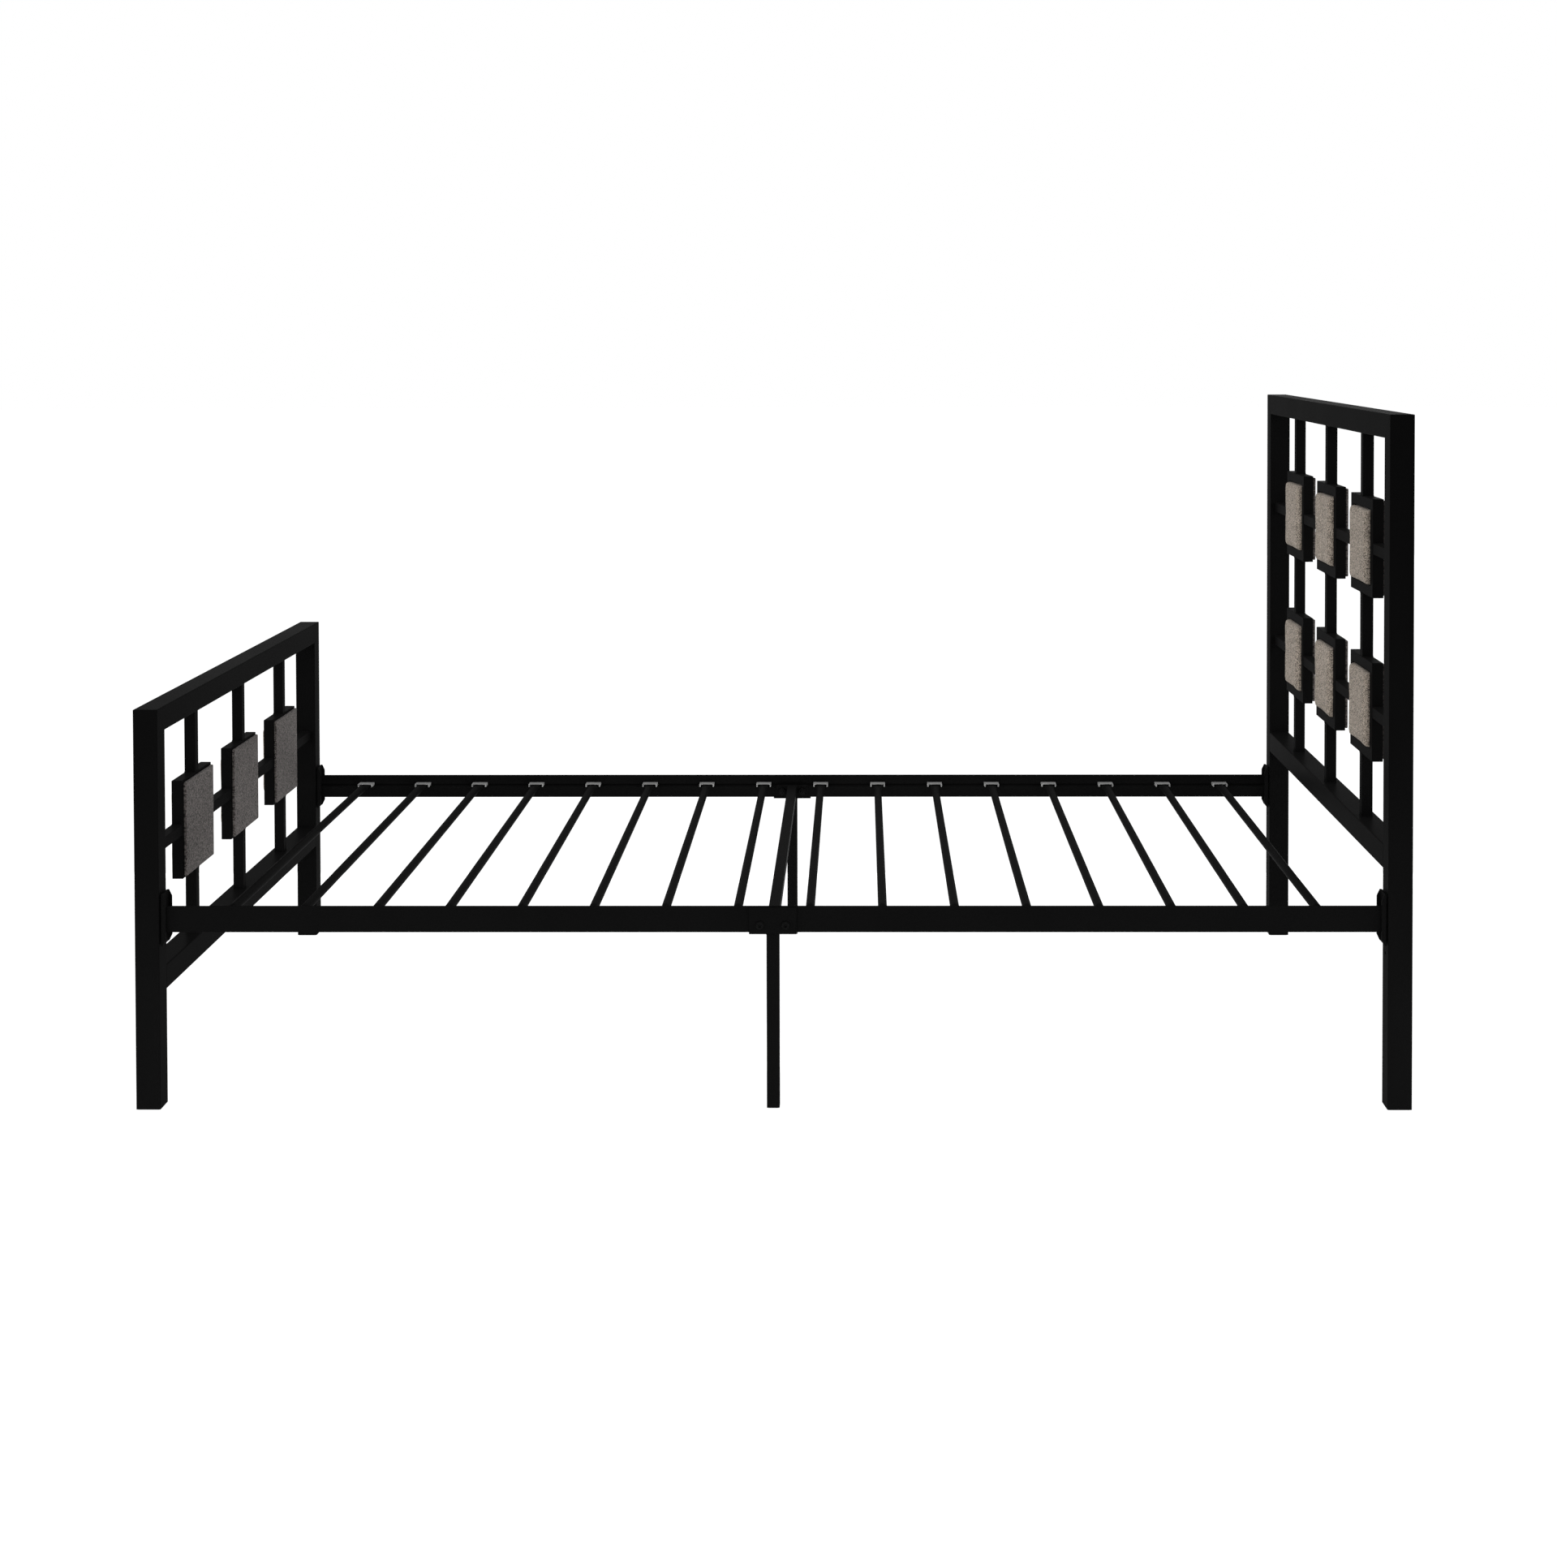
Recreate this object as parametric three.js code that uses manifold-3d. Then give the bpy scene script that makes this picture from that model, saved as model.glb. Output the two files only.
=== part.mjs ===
// A twin metal bed frame in square steel tube.
//
// Two boards of mitred tube carry a grille of square rings with a cushion in each.
// Two stepped side rails hook into slots in the posts. Sixteen round slats with
// pressed-flat ends lie in plastic caps on the rails' ledges. A cross beam ties the
// rails in the middle, where a leg is bolted under each rail.
//
// Units are millimetres. +Z is up, +X points to the headboard and +Y to the left
// of someone who stands at the foot and looks at the headboard. The origin is on
// the floor under the middle of the bed.

import * as THREE from 'three';
import { mergeVertices } from 'three/addons/utils/BufferGeometryUtils.js';
import Module from 'manifold-3d';

const wasm = await Module();
wasm.setup();

// ---- Driving dimensions -------------------------------------------------------

// The mattress space, between the posts.
const MATTRESS_LENGTH = 1905;
const MATTRESS_WIDTH = 965.2;

// The two boards.
const HEAD_HEIGHT = 1079.5;
const FOOT_HEIGHT = 625;
const HEAD_LOWER_RAIL_TOP = 407.2;
const FOOT_LOWER_RAIL_TOP = 217.6;
const POST_SIZE = 38.1;
const POST_WALL = 1.5;
const POST_CORNER_RADIUS = 2;

// The square rings and the short bars that join them to the board.
const RING_SIZE = 160;
const RING_BAR = 18;
const RING_WALL = 1.2;
const RING_EDGE_RADIUS = 1.2;
const RING_COLUMNS = 3;
const HEAD_RING_ROWS = 2;
const FOOT_RING_ROWS = 1;

// The padded squares in the rings.
const CUSHION_CLEARANCE = 1.2;
const CUSHION_CROWN = 9;
const CUSHION_SLOPE = 36;
const CUSHION_CORNER_RADIUS = 7;
const BOARD_SIZE = 153;
const BOARD_THICKNESS = 5;
const BOARD_EDGE_RADIUS = 1.5;

// The stepped side rails.
const RAIL_BOTTOM = 276;
const RAIL_HEIGHT = 41.3;
const RAIL_WIDTH = 19;
const RAIL_WALL = 1.2;
const RAIL_FLANGE = 3;
const RAIL_LEDGE_HEIGHT = 20.8;
const RAIL_SETBACK = 8;
const RAIL_CORNER_RADIUS = 1.5;

// The bracket on each end of a rail, and its two hooks.
const BRACKET_BOTTOM = 256.4;
const BRACKET_HEIGHT = 80.4;
const BRACKET_WIDTH = 36;
const BRACKET_DEPTH = 8.3;
const BRACKET_PLATE = 3;
const BRACKET_CHAMFER_DEPTH = 4.8;
const BRACKET_CHAMFER_HEIGHT = 10.2;
const BRACKET_GAP = 1.5;
const HOOK_THICKNESS = 3;
const HOOK_NECK_HEIGHT = 12;
const HOOK_DROP = 8;
const HOOK_REACH = 6;
const HOOK_FIRST_HEIGHT = 15;
const HOOK_PITCH = 34;
const HOOK_SLOT_PLAY = 1.2;

// The hole under the bracket in each head post.
const POST_HOLE_HEIGHT = 241;
const POST_HOLE_DIAMETER = 6;

// The slats and their caps.
const SLAT_COUNT = 16;
const SLAT_PITCH = 114;
const SLAT_DIAMETER = 14.3;
const SLAT_WALL = 1;
const SLAT_CENTRE_HEIGHT = 299.4;
const TONGUE_WIDTH = 23;
const TONGUE_THICKNESS = 2.8;
const TONGUE_LENGTH = 30;
const SWAGE_LENGTH = 28;
// How round a slat's section is where it is pressed: 1 is round, and towards 0 it
// is flat with square edges.
const TONGUE_ROUNDNESS = 0.35;
const SWAGE_ROUNDNESS = 0.8;
const CAP_WIDTH = 29.2;
const CAP_DEPTH = 20;
const CAP_HEIGHT = 5.8;
const CAP_WALL = 2.4;
const CAP_PRESS = 0.3;
const CAP_CORNER_RADIUS = 1.2;

// The cross beam and its end plates.
const BEAM_SIZE = 18;
const BEAM_WALL = 1.2;
const BEAM_TOP = 300.4;
const BEAM_PLATE_WIDTH = 64;
const BEAM_PLATE_HEIGHT = 22;
const BEAM_PLATE_THICKNESS = 2.5;
const BEAM_PLATE_RADIUS = 4;

// The legs in the middle of the rails.
const LEG_SIZE = 20;
const LEG_WALL = 1.2;
const LEG_CORNER_RADIUS = 1.5;
const LEG_SETBACK = 1;
const LEG_PLATE_WIDTH = 74;
const LEG_PLATE_HEIGHT = 42;
const LEG_PLATE_THICKNESS = 2.5;
const LEG_PLATE_RADIUS = 5;

// The bolts that pass through leg plate, rail and beam plate.
const BOLT_SPACING = 40;
const BOLT_HEIGHT = 287.8;
const BOLT_DIAMETER = 8;
const BOLT_HEAD_DIAMETER = 13;
const BOLT_HEAD_HEIGHT = 4.4;
const BOLT_HEAD_RIM = 1.1;
const BOLT_HEAD_FLAT = 7.8;
const BOLT_SOCKET_ACROSS_CORNERS = 5.8;
const BOLT_SOCKET_DEPTH = 2.4;
const BOLT_END = 2;
const BOLT_HOLE_PLAY = 0.9;
const NUT_ACROSS_CORNERS = 14.4;
const NUT_HEIGHT = 6.5;

// The plastic plugs in the feet.
const PLUG_PROUD = 1;
const PLUG_HEIGHT = 18;
const PLUG_WALL = 2.4;
const PLUG_CORNER_RADIUS = 1;

// How many flats the round forms get.
const HOLE_FLATS = 12;
const SLAT_FLATS = 12;
const SLAT_BORE_FLATS = 6;
const BOLT_HEAD_FLATS = 14;
const SHANK_FLATS = 8;
const CROWN_STEPS = 4;

// The clearance between separate pieces that touch.
const SEAT = 0.3;
// How far welded pieces are let into each other.
const WELD = 0.5;
// How far a cutting solid reaches past what it cuts.
const PAST = 5;
// Points closer than this are one point.
const SAME_POINT = 0.0001;

// ---- Positions that follow from them -------------------------------------------

const POST_X = (MATTRESS_LENGTH + POST_SIZE) / 2;
const POST_Y = (MATTRESS_WIDTH + POST_SIZE) / 2;
const BED_HALF_WIDTH = POST_Y + POST_SIZE / 2;
const RAIL_OUTER_Y = BED_HALF_WIDTH - RAIL_SETBACK;
const RAIL_INNER_Y = RAIL_OUTER_Y - RAIL_WIDTH;
const LEDGE_TOP = RAIL_BOTTOM + RAIL_LEDGE_HEIGHT;
const RING_OPENING = RING_SIZE - 2 * RING_BAR;
const LEG_CENTRE_Y = RAIL_OUTER_Y - LEG_SETBACK - LEG_SIZE / 2;

// ---- Materials -----------------------------------------------------------------

const materials = {
  frame: { color: 0x17181a, roughness: 0.5, metalness: 0.35 },
  slat: { color: 0x1c1d1f, roughness: 0.45, metalness: 0.35 },
  beige: { color: 0xb3a99f, roughness: 0.95, metalness: 0 },
  grey: { color: 0x6f6a68, roughness: 0.95, metalness: 0 },
  bolt: { color: 0x202124, roughness: 0.35, metalness: 0.7 },
  plug: { color: 0x141415, roughness: 0.7, metalness: 0 },
};

const bed = new THREE.Group();

// ---- Helpers -------------------------------------------------------------------

// Turns a closed three.js geometry into a solid that can be cut and joined.
function solidOf(geometry) {
  const bare = geometry.clone();
  bare.deleteAttribute('normal');
  bare.deleteAttribute('uv');
  const merged = mergeVertices(bare, SAME_POINT);
  const vertProperties = new Float32Array(merged.attributes.position.array);
  const triVerts = new Uint32Array(merged.index.array);
  return new wasm.Manifold(new wasm.Mesh({ numProp: 3, vertProperties, triVerts }));
}

function geometryOf(solid) {
  const { vertProperties, triVerts } = solid.getMesh();
  const geometry = new THREE.BufferGeometry();
  geometry.setAttribute('position', new THREE.BufferAttribute(vertProperties, 3));
  geometry.setIndex(new THREE.BufferAttribute(triVerts, 1));
  geometry.computeVertexNormals();
  return geometry;
}

function join(...solids) {
  return solids.reduce((sum, next) => sum.add(next));
}

function cut(solid, ...cutters) {
  return cutters.reduce((rest, next) => rest.subtract(next), solid);
}

function addPiece(name, solid, look, [x, y, z], turn = 0) {
  const material = new THREE.MeshStandardMaterial(materials[look]);
  const piece = new THREE.Mesh(geometryOf(solid), material);
  piece.name = name;
  piece.position.set(x, y, z);
  piece.rotation.z = turn;
  bed.add(piece);
}

// A block given by its lowest and highest corners.
function block([x0, y0, z0], [x1, y1, z1]) {
  const geometry = new THREE.BoxGeometry(x1 - x0, y1 - y0, z1 - z0);
  geometry.translate((x0 + x1) / 2, (y0 + y1) / 2, (z0 + z1) / 2);
  return solidOf(geometry);
}

// A rectangle round the origin with rounded corners.
function roundedRectangle(width, height, radius) {
  const x = width / 2;
  const y = height / 2;
  const shape = new THREE.Shape();
  shape.absarc(x - radius, y - radius, radius, 0, Math.PI / 2);
  shape.absarc(radius - x, y - radius, radius, Math.PI / 2, Math.PI);
  shape.absarc(radius - x, radius - y, radius, Math.PI, 1.5 * Math.PI);
  shape.absarc(x - radius, radius - y, radius, 1.5 * Math.PI, 2 * Math.PI);
  shape.closePath();
  return shape;
}

function rectangularHole(width, height) {
  const x = width / 2;
  const y = height / 2;
  return new THREE.Path([
    new THREE.Vector2(-x, -y),
    new THREE.Vector2(-x, y),
    new THREE.Vector2(x, y),
    new THREE.Vector2(x, -y),
  ]);
}

function squareShape(size) {
  const half = size / 2;
  return new THREE.Shape([
    new THREE.Vector2(-half, -half),
    new THREE.Vector2(half, -half),
    new THREE.Vector2(half, half),
    new THREE.Vector2(-half, half),
  ]);
}

// Each corner arc gets two facets.
function extrude(shape, depth) {
  return new THREE.ExtrudeGeometry(shape, { depth, bevelEnabled: false, curveSegments: 1 });
}

// A square tube along Z from the origin up, open at both ends.
function squareTube(size, wall, radius, length) {
  const shape = roundedRectangle(size, size, radius);
  shape.holes.push(rectangularHole(size - 2 * wall, size - 2 * wall));
  return extrude(shape, length);
}

// The same tube laid along Y and centred on the origin.
function squareTubeAlongY(size, wall, radius, length) {
  const tube = squareTube(size, wall, radius, length);
  tube.translate(0, 0, -length / 2);
  tube.rotateX(Math.PI / 2);
  return tube;
}

// A round bar along Y from y0 to y1, turned so that a flat lies on its top.
function roundBarAlongY(diameter, sides, x, z, y0, y1) {
  const radius = diameter / 2;
  const bar = new THREE.CylinderGeometry(radius, radius, y1 - y0, sides);
  bar.rotateY(Math.PI / sides);
  bar.translate(x, (y0 + y1) / 2, z);
  return solidOf(bar);
}

// ---- Posts and board rails -------------------------------------------------------

// What lies on one side of the mitre of a board's corner. The mitre rises at 45
// degrees away from the middle of the board, through the inner corner (y, z). side
// is the corner's sign in Y, and above says which half is given. The half stops
// short of the mitre by half a seat clearance.
function mitreHalf(side, y, z, above) {
  const reach = 4 * POST_SIZE;
  const half = new THREE.BoxGeometry(reach, reach, reach);
  const away = above ? 1 : -1;
  half.translate(0, 0, away * (reach - SEAT) / 2);
  half.rotateX(side * Math.PI / 4);
  half.translate(0, y, z);
  return solidOf(half);
}

// The slots for a rail's hooks, in the wall that faces the mattress.
function hookSlots() {
  const width = HOOK_THICKNESS + HOOK_SLOT_PLAY;
  const height = HOOK_NECK_HEIGHT + HOOK_DROP + HOOK_SLOT_PLAY;
  const face = -POST_SIZE / 2;
  return [0, 1].map((index) => {
    const bottom = BRACKET_BOTTOM + HOOK_FIRST_HEIGHT + index * HOOK_PITCH - SEAT;
    return block(
      [face - PAST, -width / 2, bottom],
      [face + POST_WALL + PAST, width / 2, bottom + height],
    );
  });
}

function postHole() {
  const radius = POST_HOLE_DIAMETER / 2;
  const length = 2 * (POST_WALL + PAST);
  const hole = new THREE.CylinderGeometry(radius, radius, length, HOLE_FLATS);
  hole.rotateZ(Math.PI / 2);
  hole.translate(-POST_SIZE / 2, 0, POST_HOLE_HEIGHT);
  return solidOf(hole);
}

// A post stands on the origin with its slots to -X. side is the sign of the mitre
// in the post's own Y.
function makePost(height, side, withHole) {
  const tube = squareTube(POST_SIZE, POST_WALL, POST_CORNER_RADIUS, height - PLUG_PROUD);
  tube.translate(0, 0, PLUG_PROUD);
  const mitre = mitreHalf(side, -side * POST_SIZE / 2, height - POST_SIZE, true);
  const cutters = [mitre, ...hookSlots()];
  if (withHole) cutters.push(postHole());
  return cut(solidOf(tube), ...cutters);
}

// The top rail lies along Y with its mitred ends over the posts.
function makeTopRail() {
  const length = MATTRESS_WIDTH + 2 * POST_SIZE;
  const tube = solidOf(squareTubeAlongY(POST_SIZE, POST_WALL, POST_CORNER_RADIUS, length));
  const innerY = MATTRESS_WIDTH / 2;
  const innerZ = -POST_SIZE / 2;
  return cut(tube, mitreHalf(1, innerY, innerZ, false), mitreHalf(-1, -innerY, innerZ, false));
}

// The lower rail fits between the posts.
function makeLowerRail() {
  const length = MATTRESS_WIDTH - 2 * SEAT;
  return solidOf(squareTubeAlongY(POST_SIZE, POST_WALL, POST_CORNER_RADIUS, length));
}

// ---- Grille ----------------------------------------------------------------------

// One mitred ring of square bar in the YZ plane, centred on (y, z). Its long edges
// are rounded, and its hollow is cut later.
function ringOutside(y, z) {
  const shape = squareShape(RING_SIZE);
  shape.holes.push(rectangularHole(RING_OPENING, RING_OPENING));
  const ring = new THREE.ExtrudeGeometry(shape, {
    depth: RING_BAR - 2 * RING_EDGE_RADIUS,
    bevelThickness: RING_EDGE_RADIUS,
    bevelSize: RING_EDGE_RADIUS,
    bevelOffset: -RING_EDGE_RADIUS,
    bevelSegments: 1,
  });
  return solidOf(standInBoard(ring, RING_BAR / 2 - RING_EDGE_RADIUS, y, z));
}

// Turns a shape drawn in XY and extruded along Z so that it stands in the board:
// its X becomes Y, its Y becomes Z, and middle is its centre along the extrusion.
function standInBoard(geometry, middle, y, z) {
  geometry.translate(0, 0, -middle);
  geometry.rotateX(Math.PI / 2);
  geometry.rotateZ(Math.PI / 2);
  geometry.translate(0, y, z);
  return geometry;
}

// The hollow that runs round inside a ring's bars.
function ringHollow(y, z) {
  const hollow = RING_BAR - 2 * RING_WALL;
  const outer = squareShape(RING_SIZE - 2 * RING_WALL);
  outer.holes.push(rectangularHole(RING_OPENING + 2 * RING_WALL, RING_OPENING + 2 * RING_WALL));
  return solidOf(standInBoard(extrude(outer, hollow), hollow / 2, y, z));
}

// A short bar of the grille along Y or Z, between two places on its axis.
function bar(shape, alongZ, y, z, from, to) {
  const geometry = extrude(shape, to - from);
  geometry.translate(0, 0, from);
  if (!alongZ) geometry.rotateX(-Math.PI / 2);
  geometry.translate(0, alongZ ? y : 0, alongZ ? 0 : z);
  return solidOf(geometry);
}

// The spans left free on one axis between a pattern of rings and its two limits.
function spansBetween(centres, low, high) {
  const stops = [low, ...centres.flatMap((c) => [c - RING_SIZE / 2, c + RING_SIZE / 2]), high];
  const spans = [];
  for (let i = 0; i < stops.length; i += 2) spans.push([stops[i], stops[i + 1]]);
  return spans;
}

// Centres of count rings spread between two limits with equal gaps.
function ringCentres(count, low, high) {
  const gap = (high - low - count * RING_SIZE) / (count + 1);
  return Array.from({ length: count }, (_, i) => low + gap + RING_SIZE / 2 + i * (gap + RING_SIZE));
}

function ringPlaces(rows, lowerRailTop, topRailBottom) {
  const across = MATTRESS_WIDTH / 2;
  return {
    columns: ringCentres(RING_COLUMNS, -across, across),
    levels: ringCentres(rows, lowerRailTop, topRailBottom),
  };
}

// All rings and short bars of one board, welded into one hollow piece. A bar is let
// into the rings at its ends, and stops short of the board's own tubes.
function makeGrille(rows, lowerRailTop, topRailBottom) {
  const { columns, levels } = ringPlaces(rows, lowerRailTop, topRailBottom);
  const across = MATTRESS_WIDTH / 2 - SEAT;
  const low = lowerRailTop + SEAT;
  const high = topRailBottom - SEAT;
  const section = roundedRectangle(RING_BAR, RING_BAR, RING_EDGE_RADIUS);
  const bore = squareShape(RING_BAR - 2 * RING_WALL);
  const outsides = [];
  const hollows = [];
  const addBar = (alongZ, y, z, [from, to], lowEnd, highEnd) => {
    const start = from === lowEnd ? from : from - WELD;
    const end = to === highEnd ? to : to + WELD;
    outsides.push(bar(section, alongZ, y, z, start, end));
    hollows.push(bar(bore, alongZ, y, z, from - PAST, to + PAST));
  };
  for (const y of columns) {
    for (const span of spansBetween(levels, low, high)) addBar(true, y, 0, span, low, high);
  }
  for (const z of levels) {
    for (const span of spansBetween(columns, -across, across)) {
      addBar(false, 0, z, span, -across, across);
    }
    for (const y of columns) {
      outsides.push(ringOutside(y, z));
      hollows.push(ringHollow(y, z));
    }
  }
  return cut(join(...outsides), join(...hollows));
}

// ---- Padded squares --------------------------------------------------------------

// A closed skin through rings of points, from the first to the last, with flat ends.
function loft(rings) {
  const count = rings[0].length;
  const positions = rings.flat().flatMap((p) => [p.x, p.y, p.z]);
  const faces = [];
  for (let r = 0; r + 1 < rings.length; r++) {
    for (let i = 0; i < count; i++) {
      const a = r * count + i;
      const b = r * count + (i + 1) % count;
      faces.push(a, b, a + count, b, b + count, a + count);
    }
  }
  const last = (rings.length - 1) * count;
  for (let i = 1; i + 1 < count; i++) {
    faces.push(0, i + 1, i);
    faces.push(last, last + i, last + i + 1);
  }
  const geometry = new THREE.BufferGeometry();
  geometry.setAttribute('position', new THREE.Float32BufferAttribute(positions, 3));
  geometry.setIndex(faces);
  return geometry;
}

// A cushion fills a ring's opening with its back at the origin, and swells out of
// the ring towards -X. Its crown is a quarter of an ellipse.
function makeCushion() {
  const size = RING_OPENING - 2 * CUSHION_CLEARANCE;
  const straight = RING_BAR - SEAT;
  const rings = [cushionRing(size, 0, 0)];
  for (let i = 0; i <= CROWN_STEPS; i++) {
    const angle = (i / CROWN_STEPS) * Math.PI / 2;
    const inset = CUSHION_SLOPE * (1 - Math.cos(angle));
    rings.push(cushionRing(size, inset, straight + CUSHION_CROWN * Math.sin(angle)));
  }
  return solidOf(loft(rings));
}

function cushionRing(size, inset, depth) {
  const side = size - 2 * inset;
  const points = roundedRectangle(side, side, CUSHION_CORNER_RADIUS).extractPoints(2).shape;
  return points.slice(0, -1).map((p) => new THREE.Vector3(-depth, -p.x, p.y));
}

// The covered board behind a ring. Its front is at the origin and its back to +X.
function makeBackBoard() {
  const shape = roundedRectangle(BOARD_SIZE, BOARD_SIZE, 2 * BOARD_EDGE_RADIUS);
  const board = new THREE.ExtrudeGeometry(shape, {
    depth: BOARD_THICKNESS - 2 * BOARD_EDGE_RADIUS,
    bevelThickness: BOARD_EDGE_RADIUS,
    bevelSize: BOARD_EDGE_RADIUS,
    bevelOffset: -BOARD_EDGE_RADIUS,
    bevelSegments: 1,
    curveSegments: 1,
  });
  board.translate(0, 0, BOARD_EDGE_RADIUS);
  return solidOf(standInBoard(board, 0, 0, 0));
}

// ---- Side rails ------------------------------------------------------------------

// The stepped section, with the rail's outer face at X = 0 and the mattress side
// at -X: a hollow box under a ledge, and a flange of doubled sheet up the outside.
function railSection() {
  const r = RAIL_CORNER_RADIUS;
  const s = new THREE.Shape();
  s.moveTo(-RAIL_WIDTH + r, 0);
  s.lineTo(-r, 0);
  s.absarc(-r, r, r, 1.5 * Math.PI, 2 * Math.PI);
  s.lineTo(0, RAIL_HEIGHT - r);
  s.absarc(-r, RAIL_HEIGHT - r, r, 0, Math.PI);
  s.lineTo(-RAIL_FLANGE, RAIL_LEDGE_HEIGHT);
  s.lineTo(-RAIL_WIDTH + r, RAIL_LEDGE_HEIGHT);
  s.absarc(-RAIL_WIDTH + r, RAIL_LEDGE_HEIGHT - r, r, Math.PI / 2, Math.PI);
  s.absarc(-RAIL_WIDTH + r, r, r, Math.PI, 1.5 * Math.PI);
  const hole = rectangularHole(RAIL_WIDTH - 2 * RAIL_WALL, RAIL_LEDGE_HEIGHT - 2 * RAIL_WALL);
  const centre = new THREE.Vector2(-RAIL_WIDTH / 2, RAIL_LEDGE_HEIGHT / 2);
  s.holes.push(new THREE.Path(hole.getPoints().map((p) => p.add(centre))));
  return s;
}

// A bracket's side view: X runs from the web's back at the post to the free edges
// of its flanges, and Y runs up.
function bracketOutline() {
  const shoulder = BRACKET_DEPTH - BRACKET_CHAMFER_DEPTH;
  return new THREE.Shape([
    new THREE.Vector2(0, 0),
    new THREE.Vector2(shoulder, 0),
    new THREE.Vector2(BRACKET_DEPTH, BRACKET_CHAMFER_HEIGHT),
    new THREE.Vector2(BRACKET_DEPTH, BRACKET_HEIGHT - BRACKET_CHAMFER_HEIGHT),
    new THREE.Vector2(shoulder, BRACKET_HEIGHT),
    new THREE.Vector2(0, BRACKET_HEIGHT),
  ]);
}

// A hook's side view, in the same axes: a neck through the post's wall, and a
// tooth that drops behind it.
function hookOutline() {
  const behind = -(BRACKET_GAP + POST_WALL + SEAT);
  const tip = behind - HOOK_REACH;
  const top = HOOK_NECK_HEIGHT;
  const s = new THREE.Shape();
  s.moveTo(WELD, 0);
  s.lineTo(WELD, top);
  s.lineTo(tip + HOOK_REACH / 2, top);
  s.lineTo(tip, top - HOOK_REACH / 2);
  s.lineTo(tip, -HOOK_DROP + HOOK_REACH / 2);
  s.lineTo(tip + HOOK_REACH / 2, -HOOK_DROP);
  s.lineTo(behind, -HOOK_DROP);
  s.lineTo(behind, 0);
  s.closePath();
  return s;
}

// Extrudes a side view along Y, round y = 0.
function sideView(outline, width) {
  const geometry = extrude(outline, width);
  geometry.translate(0, 0, -width / 2);
  geometry.rotateX(Math.PI / 2);
  return geometry;
}

// The bracket of a rail's end at the foot: a channel that is open to +X, with two
// hooks on its back. Its back is at X = 0.
function makeBracket() {
  const channel = cut(
    solidOf(sideView(bracketOutline(), BRACKET_WIDTH)),
    block(
      [BRACKET_PLATE, -BRACKET_WIDTH / 2 + BRACKET_PLATE, -PAST],
      [BRACKET_DEPTH + PAST, BRACKET_WIDTH / 2 - BRACKET_PLATE, BRACKET_HEIGHT + PAST],
    ),
  );
  const hooks = [0, 1].map((index) => {
    const hook = sideView(hookOutline(), HOOK_THICKNESS);
    hook.translate(0, 0, HOOK_FIRST_HEIGHT + index * HOOK_PITCH);
    return solidOf(hook);
  });
  return join(channel, ...hooks);
}

// A whole side rail for the left of the bed, with a bracket on each end.
function makeSideRail() {
  const backX = MATTRESS_LENGTH / 2 - BRACKET_GAP;
  const webX = backX - BRACKET_PLATE + WELD;
  const section = extrude(railSection(), 2 * webX);
  section.rotateX(Math.PI / 2);
  section.rotateZ(Math.PI / 2);
  section.translate(-webX, RAIL_OUTER_Y, RAIL_BOTTOM);
  const atFoot = makeBracket().translate([-backX, POST_Y, BRACKET_BOTTOM]);
  const atHead = makeBracket().rotate([0, 0, 180]).translate([backX, POST_Y, BRACKET_BOTTOM]);
  return cut(join(solidOf(section), atFoot, atHead), ...boltHoles());
}

// ---- Slats -----------------------------------------------------------------------

// A superellipse across a slat at one place along it. roundness is 1 for a circle
// and falls towards 0 as the section becomes a flat rectangle.
function slatRing(sides, y, halfWidth, halfHeight, roundness, height) {
  const bend = (value) => Math.sign(value) * Math.abs(value) ** roundness;
  return Array.from({ length: sides }, (_, i) => {
    const angle = -((i + 0.5) / sides) * 2 * Math.PI;
    const x = halfWidth * bend(Math.cos(angle));
    return new THREE.Vector3(x, y, height + halfHeight * bend(Math.sin(angle)));
  });
}

// The inside or outside of a slat: a round tube pressed flat at both ends.
function slatSkin(sides, thinner, tipY) {
  const round = SLAT_DIAMETER / 2 - thinner;
  const flatWidth = TONGUE_WIDTH / 2 - thinner;
  const flatHeight = thinner ? SEAT : TONGUE_THICKNESS / 2;
  const flatStart = slatTipY() - TONGUE_LENGTH;
  const roundEnd = flatStart - SWAGE_LENGTH;
  const tongue = tongueHeight() - SLAT_CENTRE_HEIGHT;
  const swageMiddle = (flatStart + roundEnd) / 2;
  const swageWidth = (round + flatWidth) / 2;
  const swageHeight = (round + flatHeight) / 2;
  const half = [
    [roundEnd, round, round, 1, 0],
    [swageMiddle, swageWidth, swageHeight, SWAGE_ROUNDNESS, tongue / 2],
    [flatStart, flatWidth, flatHeight, TONGUE_ROUNDNESS, tongue],
    [tipY, flatWidth, flatHeight, TONGUE_ROUNDNESS, tongue],
  ];
  const mirrored = half.map(([y, ...rest]) => [-y, ...rest]).reverse();
  return solidOf(loft([...mirrored, ...half].map((row) => slatRing(sides, ...row))));
}

function tongueHeight() {
  return LEDGE_TOP + SEAT + TONGUE_THICKNESS / 2;
}

// A slat's tube stops short of the back wall of its cap.
function slatTipY() {
  return capBackY() - CAP_WALL - 2 * SEAT;
}

function capBackY() {
  return RAIL_OUTER_Y - RAIL_FLANGE - SEAT;
}

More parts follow.
